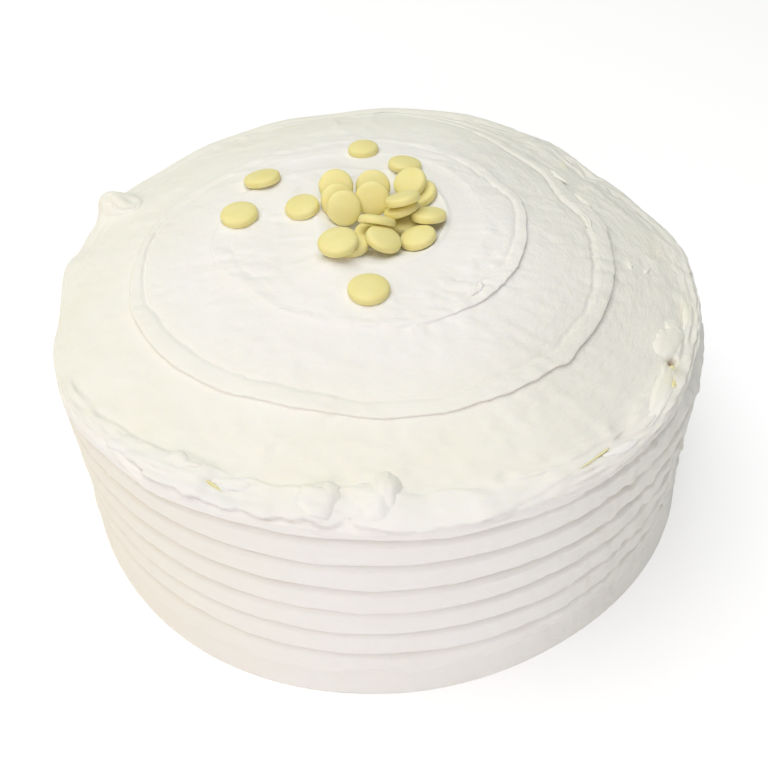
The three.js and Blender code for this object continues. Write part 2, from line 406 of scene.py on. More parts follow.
@dataclass(frozen=True)
class IcingFinish:
    """Smoothed white buttercream: matt, slightly translucent, with fine drag lines and a few crumbs,
    painted shade on its rough right side and rim, and painted warm shade on its left side.
    """

    name: str = "white_icing"
    white: tuple = (0.905, 0.888, 0.845, 1)
    shade: tuple = (0.890, 0.868, 0.812, 1)
    cream: tuple = (0.895, 0.880, 0.790, 1)
    cream_shade: tuple = (0.872, 0.852, 0.745, 1)
    # painted shade: a darker, greener colour on the rough right side and the crumpled rim, standing for the
    # shade that falls there
    painted_shade: tuple = (0.80, 0.785, 0.715, 1)
    # painted warm shade: the left side of the combed side laid darker and warmer, standing for the warm
    # left lamp's light
    painted_warm_shade: tuple = (0.865, 0.820, 0.715, 1)
    crumb: tuple = (0.83, 0.75, 0.37, 1)
    cake_inside: tuple = (0.25, 0.14, 0.05, 1)
    roughness: tuple = (0.52, 0.68)
    inside: SoftBody = SoftBody(0.2, 0.0012, (1.0, 0.85, 0.6), 0.35)
    # each zone runs from where it is not to where it is whole: mm out, or the drag's own coordinates
    cream_zone: tuple = (-36, -14)
    lip_zone: tuple = (9, 4)
    lip_at_front: float = 7.0
    front_zone: tuple = (-12, -24)
    # where the painted warm shade lies: the left side, down from the shoulder
    left_zone: tuple = (-6, -27)
    side_zone: tuple = (7, 12)
    # range and strength of the painted shade laid by the roughness
    painted_shade_zone: tuple = (0.16, 1.0)
    painted_shade_share: float = 0.85
    # relief: depth in metres and strength
    drag_relief: tuple = (0.00013, 0.6)
    wear_relief: tuple = (0.00028, 0.7)
    pore_relief: tuple = (0.00012, 0.5)
    wear_by_roughness: float = 0.6
    wear_everywhere: float = 0.13

    def make(self) -> Material:
        """Builds the material."""
        n = Nodes(self.name)
        place = n.add("TexCoord").outputs["Object"]
        drag = n.add("Attribute", attribute_name="drag").outputs["Vector"]
        # crumbs, bare cake, and roughness that drives both the wear relief and the painted shade
        stain_and_shade = n.add("Attribute", attribute_name="stain_and_shade").outputs["Vector"]
        stain_and_shade = n.add("SeparateXYZ", {0: stain_and_shade}).outputs
        relief = n.bump(n.noise(drag, 1.0, 4), *self.drag_relief)
        chips = n.ramp(n.noise(drag, 0.5, 3), 0.42, 0.66)
        wear = n.maths("MULTIPLY_ADD", stain_and_shade["Z"], self.wear_by_roughness, self.wear_everywhere)
        relief = n.bump(n.maths("MULTIPLY", chips, wear), *self.wear_relief, relief)
        relief = n.bump(n.noise(place, 900, 3), *self.pore_relief, relief)
        matt = n.ramp(n.noise(place, 210, 3), 0.2, 0.9)
        low, high = self.roughness
        roughness = n.add("MapRange", {"Value": matt, "To Min": low, "To Max": high}).outputs[0]
        return n.soft(self.colour(n, place, drag, stain_and_shade), roughness, relief, self.inside)

    def colour(self, n: Nodes, place: Socket, drag: Socket, stain_and_shade: bpy.types.NodeOutputs) -> Socket:
        """Lays the icing's tints over each other, with painted shade on the rough right side and rim and
        painted warm shade down the left side.

        Args:
            n: The material's nodes.
            place: Place in the object.
            drag: Coordinates along the knife's drag.
            stain_and_shade: Crumbs, bare cake and roughness, as X, Y and Z; the roughness also sets painted
                shade.

        Returns:
            The colour.
        """
        split = n.add("SeparateXYZ", {0: drag}).outputs
        out = split["Z"]
        patches = n.ramp(n.noise(place, 38, 4), 0.35, 0.7)
        lip = n.maths("MULTIPLY_ADD", n.ramp(split["Y"], *self.front_zone), self.lip_at_front, out)
        outer = n.maths("MULTIPLY", n.ramp(out, *self.cream_zone), n.ramp(lip, *self.lip_zone))
        # painted warm shade down the left side
        painted_warm_mask = n.maths("MULTIPLY", n.ramp(split["X"], *self.left_zone), n.ramp(out, *self.side_zone))
        # painted shade, laid by the roughness on the right side and the rim
        rough = n.maths("MULTIPLY", n.ramp(stain_and_shade["Z"], *self.painted_shade_zone), self.painted_shade_share)
        crumbs = n.maths("MULTIPLY", stain_and_shade["X"], n.ramp(n.noise(place, 1500, 1), 0.3, 0.75))
        colour = n.mix(patches, self.white, self.shade)
        colour = n.mix(outer, colour, n.mix(patches, self.cream, self.cream_shade))
        colour = n.mix(painted_warm_mask, colour, self.painted_warm_shade)
        colour = n.mix(rough, colour, self.painted_shade)
        colour = n.mix(crumbs, colour, self.crumb)
        return n.mix(stain_and_shade["Y"], colour, self.cake_inside)


@dataclass(frozen=True)
class ChocolateFinish:
    """Pale yellow white chocolate with a dull satin bloom."""

    name: str = "white_chocolate"
    body: tuple = (0.855, 0.760, 0.305, 1)
    bloom: tuple = (0.880, 0.800, 0.375, 1)
    roughness: tuple = (0.37, 0.54)
    inside: SoftBody = SoftBody(0.3, 0.0018, (1.0, 0.75, 0.35), 0.4)
    ripple_relief: tuple = (0.00006, 0.5)
    grain_relief: tuple = (0.000015, 0.4)

    def make(self) -> Material:
        """Builds the material."""
        n = Nodes(self.name)
        place = n.add("TexCoord").outputs["Object"]
        cloudy = n.ramp(n.noise(place, 170, 4), 0.3, 0.72)
        colour = n.mix(cloudy, self.body, self.bloom)
        relief = n.bump(n.noise(place, 330, 2), *self.ripple_relief)
        relief = n.bump(n.noise(place, 2600, 2), *self.grain_relief, relief)
        low, high = self.roughness
        dull = n.add("MapRange", {"Value": cloudy, "To Min": low, "To Max": high}).outputs[0]
        return n.soft(colour, dull, relief, self.inside)


@dataclass(frozen=True)
class FloorFinish:
    """A plain pale floor with the faintest mottling."""

    name: str = "pale_floor"
    light: tuple = (0.93, 0.93, 0.93, 1)
    shade: tuple = (0.915, 0.915, 0.915, 1)
    glow: float = 0.22

    def make(self) -> Material:
        """Builds the material."""
        n = Nodes(self.name)
        place = n.add("TexCoord").outputs["Object"]
        colour = n.mix(n.noise(place, 3, 2), self.light, self.shade)
        shader = n.add("BsdfPrincipled", {"Base Color": colour})
        shader.inputs["Roughness"].default_value = 0.9
        shader.inputs["Specular IOR Level"].default_value = 0.1
        shader.inputs["Emission Color"].default_value = (1, 1, 1, 1)
        shader.inputs["Emission Strength"].default_value = self.glow
        return n.finish(shader)


# ---- the icing's form ----------------------------------------------------------------------------
@dataclass(frozen=True)
class Lump:
    """A lump, or with a negative height a dent, near the rim. Lengths in mm, out from the rim crest."""

    angle: float
    out: float
    along: float
    across: float
    height: float
    power: float = 2.0

    def rise(self, angle: Array, out: Array) -> Array:
        """How far the lump lifts each point of the skin.

        Args:
            angle: Angle of each point, in degrees.
            out: Distance of each point outward from the rim crest, in mm.

        Returns:
            The lift in mm.
        """
        side = np.radians(turned(angle, self.angle)) * RIM_REACH / self.along
        across = (out - self.out) / self.across
        return self.height * np.exp(-0.5 * np.power(side * side + across * across, self.power / 2))


@dataclass(frozen=True)
class Tear:
    """The torn edge of a thin layer of icing, drawn as angles with distances out from the rim crest."""

    line: tuple
    thick: float
    reach: float = 3.5
    inward: bool = False
    torn: float = 0.5

    def rise(self, angle: Array, out: Array, ragged: Array) -> Array:
        """How far the layer stands over what lies below it.

        Args:
            angle: Angle of each point, in degrees.
            out: Distance of each point outward from the rim crest, in mm.
            ragged: Noise from -1 to 1 that tears the edge.

        Returns:
            The height in mm.
        """
        angles, outs = np.array(self.line).T
        middle = (angles[0] + angles[-1]) / 2
        edge = np.interp(middle + turned(angle, middle), angles, outs) + self.torn * ragged
        inside = out - edge if self.inward else edge - out
        layer = np.exp(-np.clip(inside, 0, None) / self.reach) * smoothstep(inside, -0.5, 0.2)
        fade = min(3.0, (angles[-1] - angles[0]) / 5)
        return self.thick * layer * within(angle, angles[0], angles[-1], fade)


@dataclass(frozen=True)
class Sway:
    """A place where the knife strayed from its plain spiral, by its turn in degrees."""

    turn: float
    by: float
    over: float

    def shift(self, turn: Array) -> Array:
        """How far the crest is moved outwards there, in mm."""
        return self.by * np.exp(-0.5 * ((turn - self.turn) / self.over) ** 2)


@dataclass(frozen=True)
class Bank:
    """A soft bank of icing on the top: its height, its middle and its spreads squared, in mm."""

    height: float
    x: float
    y: float
    wide_x: float
    wide_y: float

    def rise(self, x: Array, y: Array) -> Array:
        """How far the bank lifts each point."""
        return self.height * np.exp(-((x - self.x) ** 2 / self.wide_x + (y - self.y) ** 2 / self.wide_y))


@dataclass(frozen=True)
class Marks:
    """The layers of unevenness that knife and comb left: seed, then length, width and height in mm."""

    # the spiral's line and its bead, with lengths in degrees
    stray: tuple = (Unevenness(3, 7, height=0.6), Unevenness(4, 1.7, height=0.34))
    bead: Unevenness = Unevenness(5, 5, height=0.22)
    # torn layers and crumpled icing near the rim
    ragged: tuple = (Unevenness(11, 3.2), Unevenness(12, 1.5, height=0.5))
    layer: Unevenness = Unevenness(15, 6, height=0.5)
    crumple: Unevenness = Unevenness(13, 6.5, 2.2)
    crumple_fine: Unevenness = Unevenness(14, 3.0, 1.3, 0.4)
    # the hollow
    wavy: tuple = (Unevenness(21, 7, 7, 0.5), Unevenness(22, 2.6, 2.6, 0.25))
    # the top
    swell: Unevenness = Unevenness(31, 24, 24, 0.28)
    drag: Unevenness = Unevenness(32, 11, 3.4, 0.17)
    chips: Unevenness = Unevenness(33, 4.0, 2.6)
    patch: Unevenness = Unevenness(34, 13, 13)
    fine: Unevenness = Unevenness(35, 2.4, 1.7)
    # comb lines
    waver: tuple = (Unevenness(41, 24, height=0.3), Unevenness(42, 5, height=0.14))
    rough_line: Unevenness = Unevenness(43, 2.6, height=0.45)
    patchy: Unevenness = Unevenness(46, 26, height=0.3)
    broken: Unevenness = Unevenness(50, 5, height=0.8)
    # the torn step and the side
    wander: tuple = (Unevenness(44, 9), Unevenness(45, 2.6, height=0.8))
    smear: Unevenness = Unevenness(47, 9, 3.0)
    side_chips: Unevenness = Unevenness(51, 4.5, 2.6)
    flecks: Unevenness = Unevenness(48, 3.2, 2.2)
    ticks: Unevenness = Unevenness(49, 1.7, 5.0)


@dataclass(frozen=True)
class Crest:
    """One line of the spiral step, or the edge of the hollow or rim: what each column needs of it."""

    radius: Array
    lift: Array
    bead_width: Array
    bead_height: Array
    undercut: Array
    soft: Array


@dataclass
class IcedCake:
    """The cake under its icing, one closed skin: hollow, spiral top, rim, combed side and base."""

    marks: Marks = Marks()
    columns: int = 440
    front_columns: float = 0.24
    side_radius: float = 120.0
    rim_height: float = 92.3
    dome_rise: float = 14.0
    dome_power: float = 2.6
    comb_first: float = 10.5
    comb_pitch: float = 12.5
    comb_lines: int = 7
    comb_depth: float = 1.75
    hollow_middle: tuple = (2.0, 12.0)
    hollow_half: tuple = (23.5, 30.0)
    hollow_depth: float = 5.2
    first_turn: float = 90.0
    lip: float = 1.2
    shoulder_reach: float = 10.4
    # every 45 degrees of the spiral's two turns, from the back of the hollow
    crest_radii: tuple = (55.5, 58.5, 52, 48, 50, 53.5, 60, 71, 77, 88.5, 87.5, 83.5, 84.5, 84, 86, 112)
    crest_lift: tuple = (
        *(0.2, 0.2, 0.2, 0.18, 0.24, 0.4, 0.5, 0.42),
        *(0.3, 0.36, 0.5, 0.46, 0.35, 0.5, 0.7, 0.6, 0.4),
    )
    crest_undercut: tuple = (0, 0.1, 0.3, 0.1, 0, 0.8, 1, 0.5, 0.2, 0.2, 0.3, 0.4, 0.6, 1, 1, 0.5, 0)
    crest_soft: tuple = (1, 0.8, 0.4, 0.5, 0.7, 0.1, 0, 0.2, 0.6, 0.7, 0.2, 0.15, 0.2, 0, 0, 0.3, 0.8)
    # every 22.5 degrees: the roll of icing along the inside of the step, over the first turn and the second
    bead_width: tuple = (
        *(2, 3, 4, 5, 6.5, 6, 3, 2.5, 2.5, 2.5, 6, 5, 4, 3.6, 4.2, 4, 3),
        *(4, 4, 4, 3, 6, 7, 6.5, 6, 6, 6, 6, 7, 6, 4, 4, 3),
    )
    bead_height: tuple = (
        *(0.05, 0.05, 0.08, 0.1, 0.16, 0.14, 0.06, 0.05, 0.05, 0.08, 0.18, 0.2, 0.25, 0.25, 0.2, 0.15, 0.1),
        *(0.1, 0.2, 0.3, 0.4, 0.5, 0.52, 0.46, 0.32, 0.3, 0.3, 0.34, 0.42, 0.5, 0.35, 0.2, 0.1),
    )
    sways: tuple = (
        Sway(213, -3.0, 9),
        Sway(238, -2.2, 10),
        Sway(262, -1.3, 10),
        Sway(381, 2.2, 7),
        Sway(415, 1.8, 16),
        Sway(541, -2.6, 9),
        Sway(608, -2.8, 13),
        Sway(674, 1.6, 2.2),
        Sway(728, 1.8, 3.0),
        Sway(742, -1.6, 3.5),
        Sway(756, 2.0, 4.0),
    )
    # the pushed-up icing at the front left of the hollow, and the banks inside it
    pushed_up: Bank = Bank(2.7, -15.5, -17.5, 55, 45)
    banks: tuple = (Bank(2.9, -11, -13, 90, 90), Bank(1.9, 8, -14, 60, 60), Bank(2.0, -20, 4, 60, 160))
    hollow_shares: tuple = (0, 0.1, 0.22, 0.34, 0.46, 0.57, 0.66, 0.74, 0.81, 0.87, 0.92, 0.96, 0.985, 1.0)
    # down the spiral's step: distance out, height in lifts, and how far an undercut draws it back in
    step_down: tuple = (
        *((0, 1.2, 0), (0.22, 1.0, 0), (0.4, 0.5, 0.15), (0.5, -0.15, 0.55), (0.62, -0.8, 0.9)),
        *((0.85, -1.3, 0.8), (1.3, -1.58, 0.35), (2.0, -1.62, 0), (3.1, -1.58, 0), (4.6, -1.5, 0)),
    )
    # rings before the next crest: beyond its bead in mm, then in shares of the bead's width
    bead_beyond: tuple = (3.2, 1.8, 0.8, 0.25)
    bead_shares: tuple = (0.94, 0.8, 0.64, 0.5, 0.36, 0.24, 0.14, 0.06, 0)
    middle_rings: int = 12
    # the slope from crest to crest: shares of the band's width with heights in lifts
    fall: tuple = ((0, -1.55), (0.15, -1.45), (0.3, -1.2), (0.62, 0), (1, 0))
    climb: tuple = ((0, 0), (0.62, 0), (0.88, 0.5), (1, 1.2))
    # bands narrower than these have their rings drawn together and their relief lowered
    full_band: float = 24.0
    full_relief: float = 15.0
    # every 30 degrees from +X
    rim_radii: tuple = (109, 102.5, 109.2, 110, 109.5, 108.2, 112, 117, 113, 108.5, 112.5, 114)
    shoulder_radii: tuple = (112.8, 107.8, 116.8, 117.4, 117.4, 115.2, 115.2, 119.5, 120, 120, 120, 117.5)
    shoulder_round: tuple = (0.55, 0.7, 0.9, 1, 1, 0.9, 0.9, 0.85, 0.85, 0.9, 0.75, 0.5)
    foot_radii: tuple = (123.5, 123, 122.5, 122, 122, 122.5, 122, 122, 122.8, 121.6, 120.9, 123.2)
    # angles with heights of the torn step above the base
    step_line: tuple = (
        *((-180, 14.0), (-150, 13.5), (-130, 13.0), (-105, 13.2), (-98, 13.6), (-97, 15.4), (-90, 15.6)),
        *((-89, 13.6), (-83, 13.5), (-82, 15.0), (-76, 15.0), (-75, 14.0), (-70, 16.0)),
        *((-65, 17.0), (-58, 17.0), (-50, 16.0), (-20, 16.0), (20, 15.5), (90, 15.0), (180, 14.0)),
    )
    # rings over a comb line, from above to below, in mm from its deepest place
    groove_rings: tuple = (2.6, 1.9, 1.2, 0.6, 0.2, 0.0, -0.25, -0.6, -1.1, -2.2, -4.0)
    # rings over the torn step with how far each stands out, then shares of the foot's height with the same
    step_rings: tuple = (2.0, 1.0, 0.4, 0.12, 0.0, -0.15, -0.5, -1.2, -2.4)
    step_bulge: tuple = (0.05, 0.22, 0.38, 0.4, 0.25, -0.6, -1.1, -1.25, -1.2)
    foot_shares: tuple = (0.75, 0.5, 0.28, 0.12, 0.03, 0)
    foot_bulge: tuple = (-1.0, -0.75, -0.5, -0.25, -0.1, -0.7)
    foot_flare: float = 16.0
    lumps: tuple = (
        Lump(-90.2, -1.2, 4.4, 4.0, 1.5, 1.6),  # under the pulled-up peak at the front
        Lump(-90.5, 3.0, 6.0, 4.0, 0.8),
        Lump(-100, 0.6, 6.4, 4.0, 0.9, 2.4),  # under the ball beside it
        Lump(-95.4, 0.5, 2.2, 4.0, -0.6),
        Lump(-121.5, -0.5, 8, 3.6, 0.7, 3),  # flap, front left
        Lump(-122, 6, 16, 4, 1.0),
        Lump(-142, 7, 15, 5, 1.8),
        Lump(178, 6, 9, 6, 1.8),  # bulges on the left
        Lump(193, 6, 9, 8, -2.0),
        Lump(172, 3, 5, 5, -1.6),
        Lump(92, 2, 120, 14, -1.3, 4),  # the rim sags along the back
        Lump(158.4, 1.0, 5.8, 6.0, 5.8, 2.4),  # foot of the curl on the left edge
        Lump(158.0, -5.2, 2.0, 1.8, -1.7),  # the curl's pit
        Lump(-26, -8, 8, 4.6, 0.8, 3),  # under the white lobe on the right
        Lump(-31.5, -3.6, 1.5, 1.2, -4.0, 3),  # torn spot beside it
        Lump(-40, 1, 9, 4, 1.2),
        Lump(47, -2, 9, 4, 1.6),  # crumbly ridge, back right
        Lump(32, -1, 4, 4, -1.6),
        Lump(100, -11, 1.6, 7, 0.8, 3),  # upright creases at the back
        Lump(122, -3.5, 1.5, 3, 0.9, 3),
    )
    tears: tuple = (
        Tear(
            (
                *((-131, 3), (-126, 5), (-120, 5.5), (-110, 6), (-105, 5), (-100, 4.5), (-98, 6)),
                *((-95, 4.5), (-90, 6.5), (-84, 7.3), (-78, 6.8), (-70, 7.2)),
            ),
            thick=1.7,
            reach=5,
            torn=1.0,
        ),
        Tear(((-93, 9.5), (-86, 8.6), (-76, 8), (-71, 7.5), (-68, 6)), 0.6, 3),
        Tear(
            ((-78, 7), (-73, 6), (-70, 4.5), (-66, 3.5), (-62, 2), (-58, 0.5), (-54, 0.5), (-48, -1.5)),
            thick=1.0,
            reach=3,
            torn=0.3,
        ),
        Tear(((-77, 3.2), (-72, 2), (-66, 0), (-59, -1.2)), 0.5, 2.5, torn=0.3),
        Tear(
            ((-59, 9.5), (-54, 9), (-50, 8.5), (-45, 6.5), (-40, 6), (-33, 6), (-28, 6.5), (-12, 6)),
            thick=1.1,
            reach=4,
            torn=0.8,
        ),
        Tear(((-48, -1.0), (-45, -2.6), (-41, -4.2), (-36, -5.2), (-30, -6)), 1.4, 5, True, 0.5),
        Tear(((-43, 3), (-38, 2.4), (-31, 1), (-20, 1.6), (-6, 1)), 1.0, 3, torn=0.9),
        Tear(((-152, 3.5), (-135, 3), (-126, 1.5), (-117, 0.5)), 0.6, 3),
        Tear(((-143, -2), (-141, -1), (-133, 5), (-125, 11), (-122, 12)), 1.0, 6, torn=0.4),
        Tear(
            (
                *((-151, -1), (-140, -1.2), (-133, -3), (-127, -2.5), (-122, -4.5), (-118, -4), (-115, -3)),
                *((-107, -2.5), (-102, -3), (-99, -4.5), (-97, -2.5), (-93, -3), (-90, -6)),
            ),
            thick=1.0,
            reach=4.5,
            inward=True,
            torn=0.45,
        ),
        Tear(((-87.5, -0.5), (-84, 0), (-80, -1), (-76, 0), (-73.5, 1)), 1.5, 4, True, 0.3),
        Tear(((8, -6.5), (24, -6), (34, -4.5), (46, -5)), 0.8, 3, torn=1.0),
        Tear(((16, -2), (36, -1), (64, -1.5)), 0.7, 3, torn=1.0),
        Tear(((146, -1.5), (165, -2), (184, -3)), 0.4, 2),
        Tear(((66, -3), (84, -2), (104, -3)), 0.4, 3, torn=0.8),
    )
    # crumbs in the icing, and the bare cake in the torn hole
    smears: tuple = (
        Lump(-35.5, -1.6, 5, 1.0, 0.5),
        Lump(-32.5, -3.4, 2.0, 1.4, 0.9),
        Lump(37, -6, 2.2, 1.2, 0.7),
        Lump(0, -8, 6, 3.0, 0.22),
        Lump(-17, -2.6, 4, 2.0, 0.25),
        Lump(112, -6, 4, 1.6, 0.3),
    )
    bare_cake: Lump = Lump(-31.5, -3.7, 1.4, 1.0, 0.95, 4)

    # -- plan of the form
    def rim(self, angle: Array) -> Array:
        """Radius of the rim crest."""
        return keyed(self.rim_radii, angle / 30, True)

    def hollow_edge(self, angle: Array) -> Array:
        """Distance from the cake's axis to the edge of the off-centre oval hollow.

        Args:
            angle: Angles to look along.

        Returns:
            The distance in mm along each angle.
        """
        c, s = np.cos(np.radians(angle)), np.sin(np.radians(angle))
        (x, y), (a, b) = self.hollow_middle, self.hollow_half
        p = (c / a) ** 2 + (s / b) ** 2
        q = -2 * (c * x / a**2 + s * y / b**2)
        k = (x / a) ** 2 + (y / b) ** 2 - 1
        return (-q + np.sqrt(q * q - 4 * p * k)) / (2 * p)

    def dome(self, angle: Array, radius: Array) -> Array:
        """Height of the plain dome."""
        return self.rim_height + self.dome_rise * (1 - (radius / self.rim(angle)) ** self.dome_power)

    def crest(self, order: int, angle: Array) -> Crest:
        """One of the four lines between the bands of the top.

        Args:
            order: 0 is the hollow's edge, 1 and 2 the spiral's turns, 3 the rim.
            angle: Angle of each column, from 90 to 450 degrees.

        Returns:
            The line's place and form in each column.
        """
        last = self.first_turn + 2 * FULL_TURN
        ends = {0: self.first_turn, 3: last}
        turn = np.full(angle.shape, ends[order]) if order in ends else angle + FULL_TURN * (order - 1)
        step = (turn - self.first_turn) / 45
        if order == 0:
            radius = self.hollow_edge(angle)
        elif order == 3:
            radius = self.rim(angle)
        else:
            start = float(self.hollow_edge(np.array(self.first_turn)))
            radius = keyed([start, *self.crest_radii], step)
            loose = smoothstep(turn, self.first_turn, self.first_turn + 30)
            loose = loose * (1 - smoothstep(turn, last - 40, last))
            stray = sum(sway.shift(turn) for sway in self.sways)
            stray = stray + sum(layer.on_line(turn) for layer in self.marks.stray)
            radius = radius + stray * loose
        return Crest(
            radius,
            keyed(self.crest_lift, step),
            keyed(self.bead_width, 2 * step) * (1 + self.marks.bead.on_line(turn, order + 0.5)),
            keyed(self.bead_height, 2 * step),
            keyed(self.crest_undercut, step),
            np.clip(keyed(self.crest_soft, step), 0, 1),
        )

    def plain(self, angle: Array, out: Array) -> tuple[Array, Array]:
        """Radius and height of the plain skin near the rim and down the side.

        Args:
            angle: Angle of each point, in degrees.
            out: Distance of each point outward from the rim crest, in mm.

        Returns:
            Both in mm.
        """
        rim, shoulder = self.rim(angle), keyed(self.shoulder_radii, angle / 30, True)
        top, foot = self.rim_height + self.lip * self.crest_lift[-1], self.shoulder_foot()
        psi = np.radians(90 * np.clip(out / self.shoulder_reach, 0, 1))
        bend = keyed(self.shoulder_round, angle / 30, True)
        radius = rim + np.minimum(out, 0) + (shoulder - rim) * np.sin(psi) ** bend
        side = np.clip(out - self.shoulder_reach, 0, None)
        height = top + (foot - top) * (1 - np.cos(psi) ** bend) - side
        inside = np.clip(-out, 0, None)
        return radius, np.where(inside > 0, self.dome(angle, rim - inside) + 0.4, height)

    def shoulder_foot(self) -> float:
        """Height at which the shoulder meets the combed side."""
        return self.comb_first + self.comb_pitch * (self.comb_lines - 1) + 3.6

    # -- relief
    def swell(self, angle: Array, out: Array) -> Array:
        """How far the icing's smooth lumps stand out of the plain form near the rim.

        Args:
            angle: Angle of each point, in degrees.
            out: Distance of each point outward from the rim crest, in mm.

        Returns:
            The lift in mm.
        """
        total = sum(lump.rise(angle, out) for lump in self.lumps)
        a = np.radians(angle)
        sway = 0.4 * np.sin(5 * a + 0.7) + 0.4 * np.sin(9 * a + 1.9) + 0.3 * np.sin(17 * a + 0.4)
        return total + sway * np.exp(-0.5 * ((out - 8) / 9) ** 2)

    def tatters(self, angle: Array, out: Array) -> Array:
        """How far torn layers and crumpled icing stand over the smooth lumps near the rim.

        Args:
            angle: Angle of each point, in degrees.
            out: Distance of each point outward from the rim crest, in mm.

        Returns:
            The lift in mm.
        """
        marks = self.marks
        ragged = sum(layer.round_the_cake(angle) for layer in marks.ragged)
        patchy = 0.75 + marks.layer.round_the_cake(angle)
        total = patchy * sum(tear.rise(angle, out, ragged) for tear in self.tears)
        near = np.exp(-0.5 * ((out - 1.5) / 5.5) ** 2) * self.rim_wear(angle)
        crumple = np.abs(marks.crumple.round_the_cake(angle, out))
        return total + near * (1.1 * (0.35 - crumple) + marks.crumple_fine.round_the_cake(angle, out))

    def rim_wear(self, angle: Array) -> Array:
        """How crumpled the rim is, from 0 to 1, round the cake.

        Args:
            angle: Angle of each column, in degrees.

        Returns:
            A value for each column.
        """
        front = within(angle, -150, -92, 8)
        right = within(angle, -72, 5, 10)
        back = within(angle, 20, 62, 12)
        return 0.22 + 0.6 * front + 0.9 * right + 0.6 * back

    def roughness(self, angle: Array) -> Array:
        """How rough the combed side and the outer bands are, from 0 to 1, round the cake."""
        return 0.16 + 0.84 * within(angle, -60, 62, 16)

    def displace(self, angle: Array, radius: Array, height: Array, out: Array) -> tuple[Array, Array]:
        """Moves the plain skin by its lumps, upwards inside the rim and outwards on the side.

        Args:
            angle: Angle of each point, in degrees.
            radius: Plain radius, in mm.
            height: Plain height, in mm.
            out: Distance outward from the rim crest along the skin, in mm.

        Returns:
            The new radius and height.
        """
        return self.lifted(radius, height, out, self.swell(angle, out) + self.tatters(angle, out))

    def lifted(self, radius: Array, height: Array, out: Array, lift: Array) -> tuple[Array, Array]:
        """Moves points off the skin by a lift in mm, upwards on the top and outwards on the side."""
        rise = np.radians(90 * (1 - np.clip((out + 6) / 20, 0, 1)))
        return radius + lift * np.cos(rise), height + lift * np.sin(rise)

    def smooth_place(self, angle: Array, out: Array, lift: Array) -> Array:
        """Places in mm over the skin without its torn layers, one row for each point.

        Args:
            angle: Angle of each point, in degrees.
            out: Distance of each point outward from the rim crest, in mm.
            lift: Height over the skin, in mm.

        Returns:
            x, y and z of each point.
        """
        radius, height = self.plain(angle, out)
        radius, height = self.lifted(radius, height, out, self.swell(angle, out) + lift)
        turn = np.radians(angle)
        return np.stack([radius * np.cos(turn), radius * np.sin(turn), height], -1)

    def knife_marks(self, angle: Array, radius: Array) -> Array:
        """Low unevenness that the knife left on the top, in mm.

        Args:
            angle: Angle of each point, in degrees.
            radius: Radius of each point, in mm.

        Returns:
            Its height.
        """
        angle = angle + 0 * radius
        turn = np.radians(angle)
        x, y = radius * np.cos(turn), radius * np.sin(turn)
        marks = self.marks
        patch = np.clip(0.5 + marks.patch.over(x, y), 0, 1)
        chips = np.clip(marks.chips.over(x, y), -0.35, 0.35)
        right = self.roughness(angle) * smoothstep(radius, 55, 80)
        small = (0.85 + 0.1 * right) * chips + (0.12 + 0.05 * right) * marks.fine.over(x, y)
        total = marks.swell.over(x, y) + marks.drag.round_the_cake(angle, radius, 70) + patch * small
        return total * smoothstep(radius - self.hollow_edge(angle), 0, 7)

    # -- sections, each a block of rings by columns
    def hollow_rings(self, angle: Array) -> tuple[Array, Array, Array]:
        """Rings of the hollow, from its middle to its edge, as x, y and z.

        Args:
            angle: Angle of each column, in degrees.

        Returns:
            Three blocks of rings by columns, in mm.
        """
        edge = self.hollow_edge(angle)
        shares = upright(self.hollow_shares)
        x0, y0 = self.hollow_middle
        turn = np.radians(angle)
        x = x0 + shares * (edge * np.cos(turn) - x0)
        y = y0 + shares * (edge * np.sin(turn) - y0)
        heading = np.degrees(np.arctan2(y, x))
        lip = self.lip * self.crest_lift[0] * shares**6
        z = self.dome(heading, np.hypot(x, y)) + lip - self.hollow_depth * (1 - shares**3)
        bank = sum(bank.rise(x, y) for bank in self.banks)
        wavy = sum(layer.over(x, y) for layer in self.marks.wavy)
        return x, y, z + (bank + wavy) * (1 - shares**8) + self.pushed_up.rise(x, y)

    def band_rings(self, angle: Array, order: int) -> tuple[Array, Array, Array, Array]:
        """Rings of one band of the top, from its inner crest to its outer one.

        Args:
            angle: Angle of each column.
            order: 0, 1 or 2, from the hollow outwards.

        Returns:
            x, y and z of each point, and its distance out from the rim.
        """
        inner, outer = self.crest(order, angle), self.crest(order + 1, angle)
        width = outer.radius - inner.radius
        fit = np.clip(width / self.full_band, 0, 1)
        outs, lifts, drawn_in = [upright(column) for column in zip(*self.step_down)]
        near_in = (outs * (1 + 2.0 * inner.soft) - drawn_in * inner.undercut * (1 - inner.soft)) * fit
        bead = outer.bead_width
        near_out = [bead + upright(self.bead_beyond), bead * upright(self.bead_shares)]
        near_out = np.concatenate(near_out) * fit
        middle = np.linspace(0, 1, self.middle_rings + 2)[1:-1, None]
        between = near_in[-1] + (width - near_out[0] - near_in[-1]) * middle
        offset = np.concatenate([near_in, between, width - near_out])
        u = np.clip(offset / np.maximum(width, 1e-6), 0, 1)
